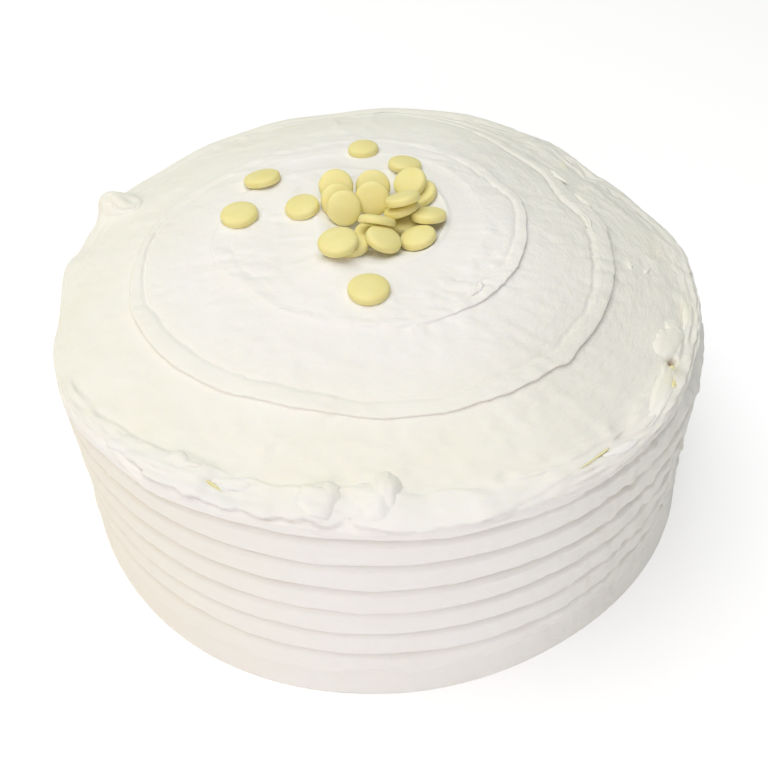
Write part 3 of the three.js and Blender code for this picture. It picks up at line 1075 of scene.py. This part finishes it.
        # the relief over the dome: down the step, then by the slopes from one crest to the next
        from_inner = np.interp(u, *np.transpose(self.fall))
        from_inner[: len(lifts)] = lifts
        from_outer = np.interp(u, *np.transpose(self.climb))
        shaped = inner.lift * from_inner + outer.lift * from_outer
        ends = self.lip * (inner.lift * (1 - u) + outer.lift * u)
        relief = ends + (shaped - ends) * np.clip(width / self.full_relief, 0, 1)
        inward = (width - offset) / np.maximum(bead * fit, 1e-6)
        roll = np.power(np.clip(4 * inward * (1 - inward), 0, 1), 0.6)
        line = np.exp(-(((inward - 1) * bead / 0.6) ** 2))
        relief = relief + fit * outer.bead_height * (0.6 * roll - (1.2 + 0.9 * outer.undercut) * line)
        radius = inner.radius + offset
        turn = np.radians(angle)
        height = self.dome(angle, radius) + relief + self.knife_marks(angle, radius)
        height = height + self.pushed_up.rise(radius * np.cos(turn), radius * np.sin(turn))
        out = radius - self.rim(angle)
        radius, height = self.displace(angle + 0 * radius, radius, height, out)
        return radius * np.cos(turn), radius * np.sin(turn), height, out

    def shoulder_rings(self, angle: Array) -> tuple[Array, Array, Array]:
        """Rings from the rim crest round the shoulder, as radius, height and distance out.

        Args:
            angle: Angle of each column, in degrees.

        Returns:
            Three blocks of rings by columns, in mm.
        """
        out = np.linspace(0, self.shoulder_reach, 18)[1:, None] + 0 * angle
        radius, height = self.plain(angle, out)
        marks = self.knife_marks(angle, self.rim(angle)) * (1 - out / self.shoulder_reach) ** 2
        return radius, height + marks, out

    def groove_height(self, angle: Array, line: int) -> Array:
        """Height of one comb line, which wavers a little.

        Args:
            angle: Angle of each column, in degrees.
            line: Number of the line, from the foot up.

        Returns:
            The height in mm.
        """
        row = 5.0 * line
        waver = sum(layer.round_the_cake(angle, row) for layer in self.marks.waver)
        rough = self.marks.rough_line.round_the_cake(angle, row) * self.roughness(angle)
        return self.comb_first + line * self.comb_pitch + waver + rough

    def comb_strength(self, angle: Array, line: int) -> Array:
        """How deep one comb line is drawn round the cake, as a share of the full depth.

        Args:
            angle: Angle of each column, in degrees.
            line: Number of the line, from the foot up.

        Returns:
            The share in each column.
        """
        row = 7.0 * line
        patchy = 0.9 + self.marks.patchy.round_the_cake(angle, row)
        broken = self.marks.broken.round_the_cake(angle, row) * self.roughness(angle)
        front = 0.62 + 0.38 * within(angle, -132, -20, 10)
        return np.clip(patchy + broken, 0.15, 1.4) * front * (1.0 if line > 3 else 0.8)

    def side_rings(self, angle: Array) -> tuple[Array, Array, Array]:
        """Rings of the combed side, downwards, as radius, height and distance out.

        Args:
            angle: Angle of each column, in degrees.

        Returns:
            Three blocks of rings by columns, in mm.
        """
        top = self.comb_first + self.comb_pitch * (self.comb_lines - 1)
        marks, offsets = self.marks, upright(self.groove_rings)
        heights, depths = [], []
        for line in range(self.comb_lines - 1, 0, -1):
            centre = self.groove_height(angle, line)
            drop = np.where(offsets > 0, (1 - offsets / 3.2) ** 1.7, np.clip(1 + offsets / 1.0, 0, 1))
            heights.append(centre + offsets)
            depths.append(self.comb_depth * self.comb_strength(angle, line) * drop)
            if line > 1:
                heights.append((centre - 5.6)[None, :])
                depths.append(0 * centre[None, :])
        # the lowest line is a torn step, well above the plain comb's pitch
        wander = sum(layer.round_the_cake(angle) for layer in marks.wander)
        torn = np.interp(turned(angle, 0), *np.transpose(self.step_line)) + 0.6 * wander
        torn = np.minimum(torn, self.groove_height(angle, 1) - 6.6)
        foot_top = torn + self.step_rings[-1]
        heights += [torn + upright(self.step_rings), foot_top * upright(self.foot_shares)]
        depths += [0 * angle - upright(self.step_bulge), 0 * angle - upright(self.foot_bulge)]
        z, depth = np.concatenate(heights), np.concatenate(depths)
        shoulder = keyed(self.shoulder_radii, angle / 30, True)
        foot = keyed(self.foot_radii, angle / 30, True)
        flare = (foot - self.side_radius) * np.exp(-((z / self.foot_flare) ** 2))
        lean = (self.side_radius - shoulder) * smoothstep(z, top - 12, top + 2)
        rough = self.roughness(angle)
        arc = angle + 0 * z
        smear = marks.smear.round_the_cake(arc, z) * (0.14 + 0.3 * rough)
        chips = np.clip(marks.side_chips.round_the_cake(arc, z + 0.35 * arc), -0.3, 0.3) * 1.1 * rough
        flecks = np.clip(marks.flecks.round_the_cake(arc, z) - 0.3, 0, None) * 1.8 * rough
        ticks = np.clip(marks.ticks.round_the_cake(arc, z) - 0.35, 0, None) * 1.2 * rough
        fade = smoothstep(z, 0, 4)
        radius = self.side_radius + flare - lean - depth + (smear + chips + flecks - ticks) * fade
        return radius, z, 14 + top - z

    def base_rings(self, radius: Array) -> tuple[Array, Array]:
        """Rings of the flat base, inwards from its edge, as radius and height."""
        shares = upright((0.97, 0.6, 0.0))
        return shares * radius, 0 * shares * radius

    # -- the piece
    def skin(self) -> tuple[Array, Array, Array]:
        """Lays out the whole skin, ring by ring and column by column.

        Returns:
            Places in mm, drag coordinates and stains with the roughness that sets painted shade, each as
            rings by columns by three.
        """
        share = np.linspace(0, 1, self.columns + 1)
        crowding = self.front_columns * np.sin(2 * np.pi * share) / (2 * np.pi)
        angle = self.first_turn + FULL_TURN * (share + crowding)
        turn = np.radians(angle)
        x, y, z = self.hollow_rings(angle)
        blocks = [(x, y, z, np.hypot(x, y) - self.rim(angle))]
        blocks += [self.band_rings(angle, order) for order in range(3)]
        for radius, height, out in (self.shoulder_rings(angle), self.side_rings(angle)):
            wide, high = self.displace(angle + 0 * radius, radius, height, out)
            high = np.where(height < 8, height, high)
            blocks.append((wide * np.cos(turn), wide * np.sin(turn), high, out))
        edge = np.hypot(blocks[-1][0][-1], blocks[-1][1][-1])
        radius, height = self.base_rings(edge)
        blocks.append((radius * np.cos(turn), radius * np.sin(turn), height, 120 + edge - radius))
        x, y, z, out = [np.concatenate(parts) for parts in zip(*blocks)]
        return np.stack([x, y, z], -1), self.drag(angle + 0 * out, out), self.stains_and_shade(angle + 0 * out, out)

    def drag(self, angle: Array, out: Array) -> Array:
        """Coordinates that run round the cake with the knife, in which its marks are long and thin."""
        turn, wide = np.radians(angle), 30.0
        return np.stack([wide * np.cos(turn), wide * np.sin(turn), out / 1.3], -1)

    def stains_and_shade(self, angle: Array, out: Array) -> Array:
        """Where crumbs colour the icing, where the cake inside shows and where the icing is rough, which
        also sets where shade is painted.

        Args:
            angle: Angle of each point.
            out: Distance out from the rim crest.

        Returns:
            For each point the strength of crumbs, of bare cake and of roughness, which also sets the
            painted shade.
        """
        crumbs = sum(smear.rise(angle, out) for smear in self.smears)
        bare = self.bare_cake.rise(angle, out)
        # roughness of the right side and the crumpled rim: it raises the wear relief, and the finish also
        # paints shade by it
        roughness_and_shade = self.roughness(angle) * smoothstep(out, -88, -24)
        roughness_and_shade = np.maximum(roughness_and_shade, 0.45 * self.rim_wear(angle) * np.exp(-0.5 * ((out - 4) / 4) ** 2))
        return np.stack([np.clip(crumbs, 0, 1), np.clip(bare, 0, 1), np.clip(roughness_and_shade, 0, 1)], -1)

    def build(self) -> Thing:
        """Lays a fine grid over the form and closes its seam and its two poles.

        Returns:
            The icing's piece.
        """
        places, drag, stain_and_shade = self.skin()
        rings, columns = places.shape[:2]
        bpy.ops.object.select_all(action="DESELECT")
        bpy.ops.mesh.primitive_grid_add(x_subdivisions=columns - 1, y_subdivisions=rings - 1, size=1)
        piece = bpy.context.object
        piece.name = piece.data.name = "icing"
        flat = vertex_places(piece)
        column = np.rint((flat[:, 0] + 0.5) * (columns - 1)).astype(int)
        ring = np.rint((flat[:, 1] + 0.5) * (rings - 1)).astype(int)
        move_vertices(piece, places[ring, column] * MM)
        colour_like_skin(piece, drag[ring, column], stain_and_shade[ring, column])
        close_up(piece, 2e-5)
        return piece

    def dress(self, piece: Thing, material: Material) -> None:
        """Gives the icing its finish and its place in the object."""
        belong(piece, material, Slot.ICING, "cake")


# ---- torn bits of icing --------------------------------------------------------------------------
@dataclass(frozen=True)
class Scrap:
    """A torn bit of icing lying on the skin. Lengths in mm, out from the rim crest, twist in degrees."""

    angle: float
    out: float
    along: float
    across: float
    thick: float
    twist: float = 0.0
    taper: float = 0.0
    ragged: float = 0.14
    flat: float = 1.6
    sink: float = 0.2
    edge: float = 0.85
    fade: float = 0.0

    def spread(self, ball: Array, seed: int) -> tuple[Array, Array, Array]:
        """Flattens a ball of radius 1 into the scrap's shape.

        Args:
            ball: The ball's points, one row each.
            seed: Number of the scrap's unevenness.

        Returns:
            Distances along and across, and heights over the skin, in mm.
        """
        x, y, z = ball.T
        heading = np.arctan2(y, x)
        c, s = np.cos(heading), np.sin(heading)
        noise = Unevenness(seed)
        outline = 1 + self.ragged * (1.6 * noise.at(1.6 * c + 9, 1.6 * s + 9, 0.5))
        outline = outline + 0.5 * self.ragged * noise.at(4 * c + 9, 4 * s + 9, 3.5)
        p = self.along * x * outline
        q = self.across * y * outline * (1 + self.taper * x)
        bumps = 1 + 0.3 * noise.at(x * 1.4 + 9, y * 1.4 + 9, 0.5)
        bumps = bumps + 0.1 * noise.at(x * 3 + 9, y * 3 + 9, 0.5)
        c, s = np.cos(np.radians(self.twist)), np.sin(np.radians(self.twist))
        along, across = c * p - s * q, s * p + c * q
        edge = self.edge + self.fade * np.clip(across / np.abs(across).max(), 0, 1)
        mound = (1 - np.clip(x * x + y * y, 0, 1) ** self.flat) ** edge * bumps
        return along, across, self.thick * np.where(z > 0, mound - self.sink * (1 - z), -self.sink)


@dataclass
class IcingScraps:
    """Torn bits of icing on the rim and the ridges, and streaks of cake dragged out of it."""

    rim: tuple = (
        Scrap(-100.3, 0.5, 6.6, 3.9, 1.6, 10, 0.15, 0.18, 1.7, 0.3, 1.0, 0.3),  # the ball at the front
        Scrap(-98.4, -1.5, 4.4, 3.2, 1.3, 20, 0.0, 0.12, 1.2, 0.3, 1.4, 0.8),
        Scrap(-95.2, 2.0, 5.0, 2.4, 0.6, 6, 0.1, 0.25, 1.4, 0.4, 1.2, 1.0),
        Scrap(-92.2, 1.0, 6.6, 4.8, 1.5, 14, 0.0, 0.16, 1.0, 0.2, 2.0, 0.3),  # the pulled-up peak
        Scrap(-89.6, -2.0, 4.2, 5.6, 1.7, 4, 0.0, 0.1, 1.0, 0.2, 1.6, 0.5),
        Scrap(-123.0, -1.4, 8.0, 2.8, 0.9, -9, -0.2, 0.3, 2.0, 0.3, 1.0, 1.2),  # flaps, front left
        Scrap(-131.5, 0.6, 8.6, 3.2, 0.8, -14, 0.1, 0.3, 2.0, 0.3, 1.2, 1.2),
        Scrap(-113.6, -1.0, 6.6, 1.8, 0.6, -3, 0.2, 0.3, 2.0, 0.3, 1.0, 1.2),
        Scrap(-52.0, 3.4, 7.0, 2.0, 0.8, 10, 0.1, 0.3, 1.6, 0.3, 1.2, 1.0),
        Scrap(-40.4, -1.2, 14.0, 2.5, 0.9, -11, 0.15, 0.34, 1.6, 0.3, 0.9, 1.2),  # torn strip, right
        Scrap(-36.2, -3.0, 6.0, 2.0, 0.8, -8, 0.2, 0.3, 1.6, 0.3, 1.0, 1.2),
        Scrap(-27.2, -7.2, 8.0, 4.8, 0.9, 4, -0.2, 0.34, 2.4, 0.3, 0.8, 0.7),  # the white lobe, right
        Scrap(-23.0, -6.4, 4.6, 3.6, 0.8, -20, 0.0, 0.3, 2.4, 0.3, 0.9, 0.7),
        Scrap(-18.0, -1.8, 9.0, 2.2, 0.9, 2, 0.0, 0.25, 1.6, 0.3, 1.0, 1.0),
    )
    top: tuple = (
        Scrap(8.6, -28.0, 4.6, 1.5, 0.9, 14, 0.2, 0.3, 1.6, 0.3),  # torn lumps on the outer ridge, right
        Scrap(21.0, -18.6, 6.0, 2.1, 1.1, 8, -0.2, 0.3, 1.6, 0.3),
        Scrap(32.0, -17.0, 5.0, 1.8, 0.9, 0, 0.2, 0.3, 1.6, 0.3),
        Scrap(-7.0, -20.0, 2.4, 1.0, 0.6, 0, 0.0, 0.3, 1.6, 0.3),
        Scrap(-7.4, -14.0, 2.4, 1.0, 0.6, 30, 0.0, 0.3, 1.6, 0.3),
        Scrap(-44.6, -67.7, 3.2, 1.0, 0.9, 4, 0.2, 0.2, 1.6, 0.2, 0.8),  # a curl on the inner ridge
        Scrap(-40.9, -68.4, 1.3, 1.2, 1.3, 0, 0.0, 0.1, 1.6, 0.2, 0.7),
    )
    streaks: tuple = (
        Scrap(-116.4, 0.5, 5.4, 0.4, 0.75, 14, 0.2, 0.1, 1.6, 0.6),  # cake dragged out by the knife
        Scrap(-57.4, 1.2, 7.6, 0.3, 0.6, -5, 0.5, 0.1, 1.6, 0.7),
        Scrap(-32.6, -3.0, 1.3, 0.8, 1.2, -20, 0.0, 0.3, 1.6, 0.6),
        Scrap(-36.4, -0.4, 1.7, 0.5, 1.0, -14, 0.0, 0.3, 1.6, 0.6),
    )
    probe_every: int = 6
    voxel: float = 0.24
    softening: int = 5
    # share of the skin's crumbs, bare cake and roughness with its painted shade that a bit of icing has,
    # and a streak's own
    icing_stain_and_shade: tuple = (1, 0, 0.15)
    streak_stain: tuple = (3, 0, 0)

    def pattern(self, detail: int) -> Thing:
        """Makes the ball that scraps are shaped from.

        Args:
            detail: How often its faces are divided.

        Returns:
            The ball.
        """
        bpy.ops.object.select_all(action="DESELECT")
        bpy.ops.mesh.primitive_ico_sphere_add(subdivisions=detail, radius=1.0, location=(0, 0, 0))
        return bpy.context.object

    def lay(self, ball: Thing, scrap: Scrap, seed: int, cake: IcedCake, skin: Thing) -> Thing:
        """Copies the ball, shapes it and lays it on the icing.

        Args:
            ball: The ball to copy.
            scrap: The bit to make.
            seed: Number of its unevenness.
            cake: The form that it lies on.
            skin: The icing's finished piece.

        Returns:
            The new bit.
        """
        copy = bpy.data.objects.new("scrap", ball.data.copy())
        bpy.context.scene.collection.objects.link(copy)
        along, across, height = scrap.spread(vertex_places(ball), seed)
        radius = cake.plain(np.array(scrap.angle), np.array(scrap.out))[0]
        angle, out = scrap.angle + np.degrees(along / radius), scrap.out + across
        base = cake.smooth_place(angle, out, 0 * height)
        up = cake.smooth_place(angle, out, 0 * height + 1) - base
        gaps = []
        for point, rise in zip(base[:: self.probe_every], up[:: self.probe_every]):
            spot = skin.closest_point_on_mesh(Vector(point * MM))[1]
            gaps.append((np.array(spot) / MM - point) @ rise)
        move_vertices(copy, (base + up * (height + float(np.median(gaps)))[:, None]) * MM)
        colour_like_skin(copy, cake.drag(angle, out), np.tile(self.streak_stain, (len(out), 1)))
        return copy

    def build(self, cake: IcedCake, skin: Thing) -> list[Thing]:
        """Makes one piece of the rim's bits, one of the ridges' and one of the streaks.

        Args:
            cake: The form that they lie on.
            skin: The icing's finished piece.

        Returns:
            The three pieces.
        """
        pieces = []
        groups = (self.rim, 5), (self.top, 4), (self.streaks, 4)
        for name, (scraps, detail) in zip(("rim_scraps", "ridge_scraps", "cake_streaks"), groups):
            ball = self.pattern(detail)
            bits = [self.lay(ball, scrap, 100 + k, cake, skin) for k, scrap in enumerate(scraps)]
            bpy.data.objects.remove(ball)
            only(bits[0])
            for bit in bits:
                bit.select_set(True)
            bpy.ops.object.join()
            piece = bpy.context.object
            piece.name = piece.data.name = name
            if scraps is not self.streaks:
                self.blend(piece, cake)
            close_up(piece, 1e-6)
            pieces.append(piece)
        return pieces

    def blend(self, piece: Thing, cake: IcedCake) -> None:
        """Makes bits that overlap one soft form, and gives it the icing's colouring.

        Args:
            piece: The bits, joined.
            cake: The form that they lie on.
        """
        piece.data.remesh_voxel_size = self.voxel * MM
        bpy.ops.object.voxel_remesh()
        soften = piece.modifiers.new("soften", "SMOOTH")
        soften.iterations = self.softening
        bpy.ops.object.modifier_apply(modifier=soften.name)
        x, y, _ = vertex_places(piece).T / MM
        angle = np.degrees(np.arctan2(y, x))
        out = np.hypot(x, y) - cake.rim(angle)
        # the bits take the skin's crumbs and a little of its roughness, with its painted shade
        colour_like_skin(piece, cake.drag(angle, out), cake.stains_and_shade(angle, out) * self.icing_stain_and_shade)

    def dress(self, pieces: list[Thing], material: Material) -> None:
        """Gives the bits the icing's finish and their place in the object."""
        for piece in pieces:
            belong(piece, material, Slot.ICING)


@dataclass
class EdgeCurl:
    """The curl of icing on the left edge: a soft cap, with a crease bent round a small pit."""

    cap: Scrap = Scrap(158.8, -1.8, 7.4, 8.0, 1.4, 0, 0.0, 0.06, 1.4, 0.3, 1.0)
    detail: int = 6
    seed: int = 71
    # the crease's middle and half lengths, along and out from the cap's middle
    crease_middle: tuple = (0.3, -3.0)
    crease_half: tuple = (4.2, 4.8)
    crease_depth: float = 1.2
    crease_width: float = 0.5

    def build(self, cake: IcedCake) -> Thing:
        """Shapes a ball into the cap, draws its crease and lays it on the icing.

        Args:
            cake: The form that it lies on.

        Returns:
            The curl.
        """
        bpy.ops.object.select_all(action="DESELECT")
        bpy.ops.mesh.primitive_ico_sphere_add(subdivisions=self.detail, radius=1.0, location=(0, 0, 0))
        piece = bpy.context.object
        piece.name = piece.data.name = "edge_curl"
        along, across, height = self.cap.spread(vertex_places(piece), self.seed)
        u = (along - self.crease_middle[0]) / self.crease_half[0]
        v = (across - self.crease_middle[1]) / self.crease_half[1]
        off = (np.hypot(u, v) - 1) * np.mean(self.crease_half) / self.crease_width
        bent = np.exp(-0.5 * off**2) * smoothstep(u, -0.5, 0.1)
        height = height - self.crease_depth * bent * smoothstep(height, 0, 0.5)
        radius = cake.plain(np.array(self.cap.angle), np.array(self.cap.out))[0]
        angle, out = self.cap.angle + np.degrees(along / radius), self.cap.out + across
        move_vertices(piece, cake.smooth_place(angle, out, height) * MM)
        colour_like_skin(piece, cake.drag(angle, out), cake.stains_and_shade(angle, out))
        close_up(piece, 1e-6)
        return piece

    def dress(self, piece: Thing, material: Material) -> None:
        """Gives the curl the icing's finish and its place in the object."""
        belong(piece, material, Slot.ICING)


# ---- buttons -------------------------------------------------------------------------------------
@dataclass(frozen=True)
class ButtonPlace:
    """Where a CAD button lies: its middle, its upward axis, its diameter and its thickness, in metres."""

    name: str
    middle: Vector
    axis: Vector
    diameter: float
    thickness: float

    @classmethod
    def of_node(cls, name: str, node: Thing) -> "ButtonPlace":
        """Measures a button's CAD node.

        Args:
            name: The node's name.
            node: Its object.

        Returns:
            The button's place.
        """
        points = vertex_places(node)
        middle = (points.min(0) + points.max(0)) / 2
        axis = np.linalg.svd(points - points.mean(0))[2][2]
        axis = axis if axis[2] > 0 else -axis
        depth = (points - middle) @ axis
        middle = middle + axis * (depth.min() + depth.max()) / 2
        level = points - middle - np.outer((points - middle) @ axis, axis)
        centre = middle + level.mean(0)
        level = level - level.mean(0)
        reach = np.linalg.norm(level, axis=1).max()
        return cls(name, Vector(centre), Vector(axis), 2 * reach, depth.max() - depth.min())


@dataclass
class ChocolateButtons:
    """White chocolate buttons: one is modelled and copied to the place of each CAD button."""

    sides: int = 40
    flatness: float = 0.006
    loose: tuple = ("button_01", "button_03", "button_04", "button_05", "button_06")
    seat: float = 0.45
    # how far out of true each one sets: to an oval and to a rounded triangle, in shares of its radius
    oval: float = 0.012
    three_sided: float = 0.006
    crown_wave: float = 0.05
    # shares of the CAD button's diameter and thickness, which keep neighbours apart
    fit_across: float = 0.985
    fit_thick: float = 0.98
    first_seed: int = 60
    # height in metres, clear of the cake, from which the icing under a button is sounded
    above: float = 0.3
    # from the middle of the underside to the middle of the top, in radii and half thicknesses
    underside: tuple = ((0.45, -0.95), (0.82, -0.99), (0.93, -0.98))
    edge: tuple = ((0.97, -0.93), (0.99, -0.76), (1.0, -0.46), (0.996, -0.1), (0.978, 0.18), (0.94, 0.4))
    crown: tuple = ((0.88, 0.57), (0.77, 0.72), (0.59, 0.86), (0.36, 0.95), (0.15, 0.99))
    poles: tuple = (1.0, -0.93)

    def model(self) -> Thing:
        """Models one button of radius 1 and thickness 2 by drawing a ring up through its outline.

        Returns:
            The button.
        """
        rings = self.underside + self.edge + self.crown
        bpy.ops.object.select_all(action="DESELECT")
        first = rings[0]
        bpy.ops.mesh.primitive_circle_add(vertices=self.sides, radius=first[0], location=(0, 0, first[1]))
        button = bpy.context.object
        bpy.ops.object.transform_apply(location=True, rotation=False, scale=False)
        bpy.ops.object.mode_set(mode="EDIT")
        bpy.ops.mesh.select_all(action="SELECT")
        for (radius, height), (wider, higher) in zip(rings, rings[1:]):
            bpy.ops.mesh.extrude_edges_move(TRANSFORM_OT_translate={"value": (0, 0, higher - height)})
            bpy.ops.transform.resize(value=(wider / radius, wider / radius, 1), center_override=(0, 0, 0))
        for height, (radius, level) in zip(self.poles, (rings[-1], rings[0])):
            bpy.ops.object.mode_set(mode="OBJECT")
            x, y, z = vertex_places(button).T
            at_end = (np.abs(z - level) < 1e-4) & (np.abs(np.hypot(x, y) - radius) < 1e-3)
            bpy.ops.object.mode_set(mode="EDIT")
            select_vertices(button, at_end)
            bpy.ops.mesh.extrude_edges_move(TRANSFORM_OT_translate={"value": (0, 0, height - level)})
            bpy.ops.mesh.merge(type="CENTER")
        bpy.ops.object.mode_set(mode="OBJECT")
        smooth = button.modifiers.new("soften", "SUBSURF")
        smooth.levels = smooth.render_levels = 1
        bpy.ops.object.modifier_apply(modifier=smooth.name)
        close_up(button, 1e-4)
        return button

    def place(self, pattern: Thing, place: ButtonPlace, seed: int) -> Thing:
        """Copies the button to one place, a little out of true as each one sets.

        Args:
            pattern: The modelled button.
            place: Where the copy goes.
            seed: Number of its unevenness.

        Returns:
            The copy.
        """
        copy = bpy.data.objects.new(place.name + "_chocolate", pattern.data.copy())
        copy.data.name = copy.name
        bpy.context.scene.collection.objects.link(copy)
        x, y, z = vertex_places(copy).T
        spin = np.random.default_rng(seed).uniform(0, 2 * np.pi)
        angle = np.arctan2(y, x)
        bumps = Unevenness(self.first_seed + seed)
        wide = 1 + self.oval * np.cos(2 * (angle - spin)) + self.three_sided * np.cos(3 * angle + spin)
        wide = wide * (1 + self.flatness * bumps.at(np.cos(angle) * 2 + 5, np.sin(angle) * 2 + 5, 1.5))
        high = 1 + self.crown_wave * bumps.at(x * 1.6 + 5, y * 1.6 + 5, 0.5)
        points = np.stack([x * wide, y * wide, z * high], -1)
        radius, half = place.diameter / 2 * self.fit_across, place.thickness / 2 * self.fit_thick
        turn = Vector((0, 0, 1)).rotation_difference(place.axis).to_matrix().to_4x4()
        matrix = Matrix.Translation(place.middle) @ turn @ Matrix.Diagonal((radius, radius, half, 1))
        move_vertices(copy, points)
        copy.data.transform(matrix)
        return copy

    def settle(self, button: Thing, skin: Thing) -> None:
        """Lowers a button that lies by itself until the icing just holds it.

        Args:
            button: The button.
            skin: The icing's finished piece.
        """
        points = vertex_places(button)
        gaps = []
        for x, y, z in points:
            spot = skin.ray_cast(Vector((x, y, self.above)), Vector((0, 0, -1)))[1]
            gaps.append(z - spot.z)
        points[:, 2] -= min(gaps) + self.seat * MM
        move_vertices(button, points)

    def build(self, nodes: dict[str, Thing], skin: Thing) -> list[Thing]:
        """Makes a button for each CAD button, those outside the pile let down onto the icing.

        Args:
            nodes: The CAD nodes by name.
            skin: The icing's finished piece.

        Returns:
            The buttons.
        """
        pattern = self.model()
        names = sorted(name for name in nodes if name.startswith("button_"))
        copies = [self.place(pattern, ButtonPlace.of_node(n, nodes[n]), k) for k, n in enumerate(names)]
        bpy.data.objects.remove(pattern)
        for name, copy in zip(names, copies):
            if name in self.loose:
                self.settle(copy, skin)
        return copies

    def dress(self, copies: list[Thing], finish: ChocolateFinish) -> None:
        """Gives every button the chocolate finish and its place in the object."""
        material = finish.make()
        for copy in copies:
            belong(copy, material, Slot.CHOCOLATE, copy.name.removesuffix("_chocolate"))


# ---- studio --------------------------------------------------------------------------------------
@dataclass(frozen=True)
class Lamp:
    """A large round soft lamp aimed at the cake: its place in metres and its power in watts."""

    name: str
    place: tuple
    power: float
    size: float = 1.0
    colour: tuple = (1.0, 1.0, 1.0)

    def light(self, aim: Vector) -> None:
        """Hangs the lamp and turns it to its aim.

        Args:
            aim: The place that it shines on.
        """
        data = bpy.data.lights.new(self.name, "AREA")
        data.shape = "DISK"
        data.size = self.size
        data.energy = self.power
        data.color = self.colour
        lamp = bpy.data.objects.new(self.name, data)
        bpy.context.scene.collection.objects.link(lamp)
        lamp.location = self.place
        lamp.rotation_euler = (aim - Vector(self.place)).to_track_quat("-Z", "Y").to_euler()


@dataclass
class Studio:
    """Pale floor, soft light from all sides but most from above, and the photograph's camera."""

    floor_size: float = 8.0
    camera_at: tuple = (0.0, -0.27960, 0.31121)
    yaw: float = -0.228
    pitch: float = -45.17
    roll: float = -1.59
    lens: float = 45.02
    sensor: float = 36.0
    sky: float = 0.19
    sky_colour: tuple = (0.88, 1.0, 0.92, 1)
    lamps: tuple = (
        Lamp("lamp_above", (-0.3, 0.0, 1.7), 21.8, 2.0),
        Lamp("lamp_front", (-0.1, -1.5, 0.9), 9.2, 1.6, (1.0, 0.87, 0.99)),
        Lamp("lamp_left", (-1.5, -0.25, 0.9), 3.1, 1.6, (1.0, 0.78, 0.42)),
        Lamp("lamp_back", (-0.5, 1.3, 1.2), 3.1, 2.0),
    )

    def build(self) -> None:
        """Makes the floor, light, sky and camera."""
        bpy.ops.object.select_all(action="DESELECT")
        bpy.ops.mesh.primitive_plane_add(size=self.floor_size, location=(0, 0, 0))
        floor = bpy.context.object
        floor.name = "floor"
        floor.data.materials.append(FloorFinish().make())
        self.light()
        self.camera()
        LOG.info("studio: floor, light and camera")

    def light(self) -> None:
        """The lamps and an even white sky."""
        scene = bpy.context.scene
        scene.world = bpy.data.worlds.new("sky")
        scene.world.use_nodes = True
        sky = scene.world.node_tree.nodes["Background"]
        sky.inputs["Color"].default_value = self.sky_colour
        sky.inputs["Strength"].default_value = self.sky
        for lamp in self.lamps:
            lamp.light(Vector((0, 0, 0)))
        scene.view_settings.view_transform = "Standard"
        scene.view_settings.look = "None"

    def camera(self) -> None:
        """The photograph's viewpoint."""
        scene = bpy.context.scene
        data = bpy.data.cameras.new("camera")
        data.lens = self.lens
        data.sensor_width = self.sensor
        data.clip_start = 0.01
        view = bpy.data.objects.new("camera", data)
        scene.collection.objects.link(view)
        turn = Matrix.Rotation(radians(self.yaw), 4, "Z")
        turn = turn @ Matrix.Rotation(radians(90 + self.pitch), 4, "X")
        turn = turn @ Matrix.Rotation(radians(self.roll), 4, "Z")
        view.matrix_world = Matrix.Translation(self.camera_at) @ turn
        scene.camera = view


def main() -> None:
    """Builds the object's pieces in order and reports each."""
    logging.basicConfig(level=logging.INFO, format="%(name)s %(message)s")
    studio = Studio()
    studio.build()
    icing = IcingFinish().make()
    cake = IcedCake()
    skin = cake.build()
    cake.dress(skin, icing)
    scraps = IcingScraps()
    scraps.dress(scraps.build(cake, skin), icing)
    curl = EdgeCurl()
    curl.dress(curl.build(cake), icing)
    buttons = ChocolateButtons()
    buttons.dress(buttons.build(frame["nodes"], skin), ChocolateFinish())


if __name__ == "__main__":
    main()
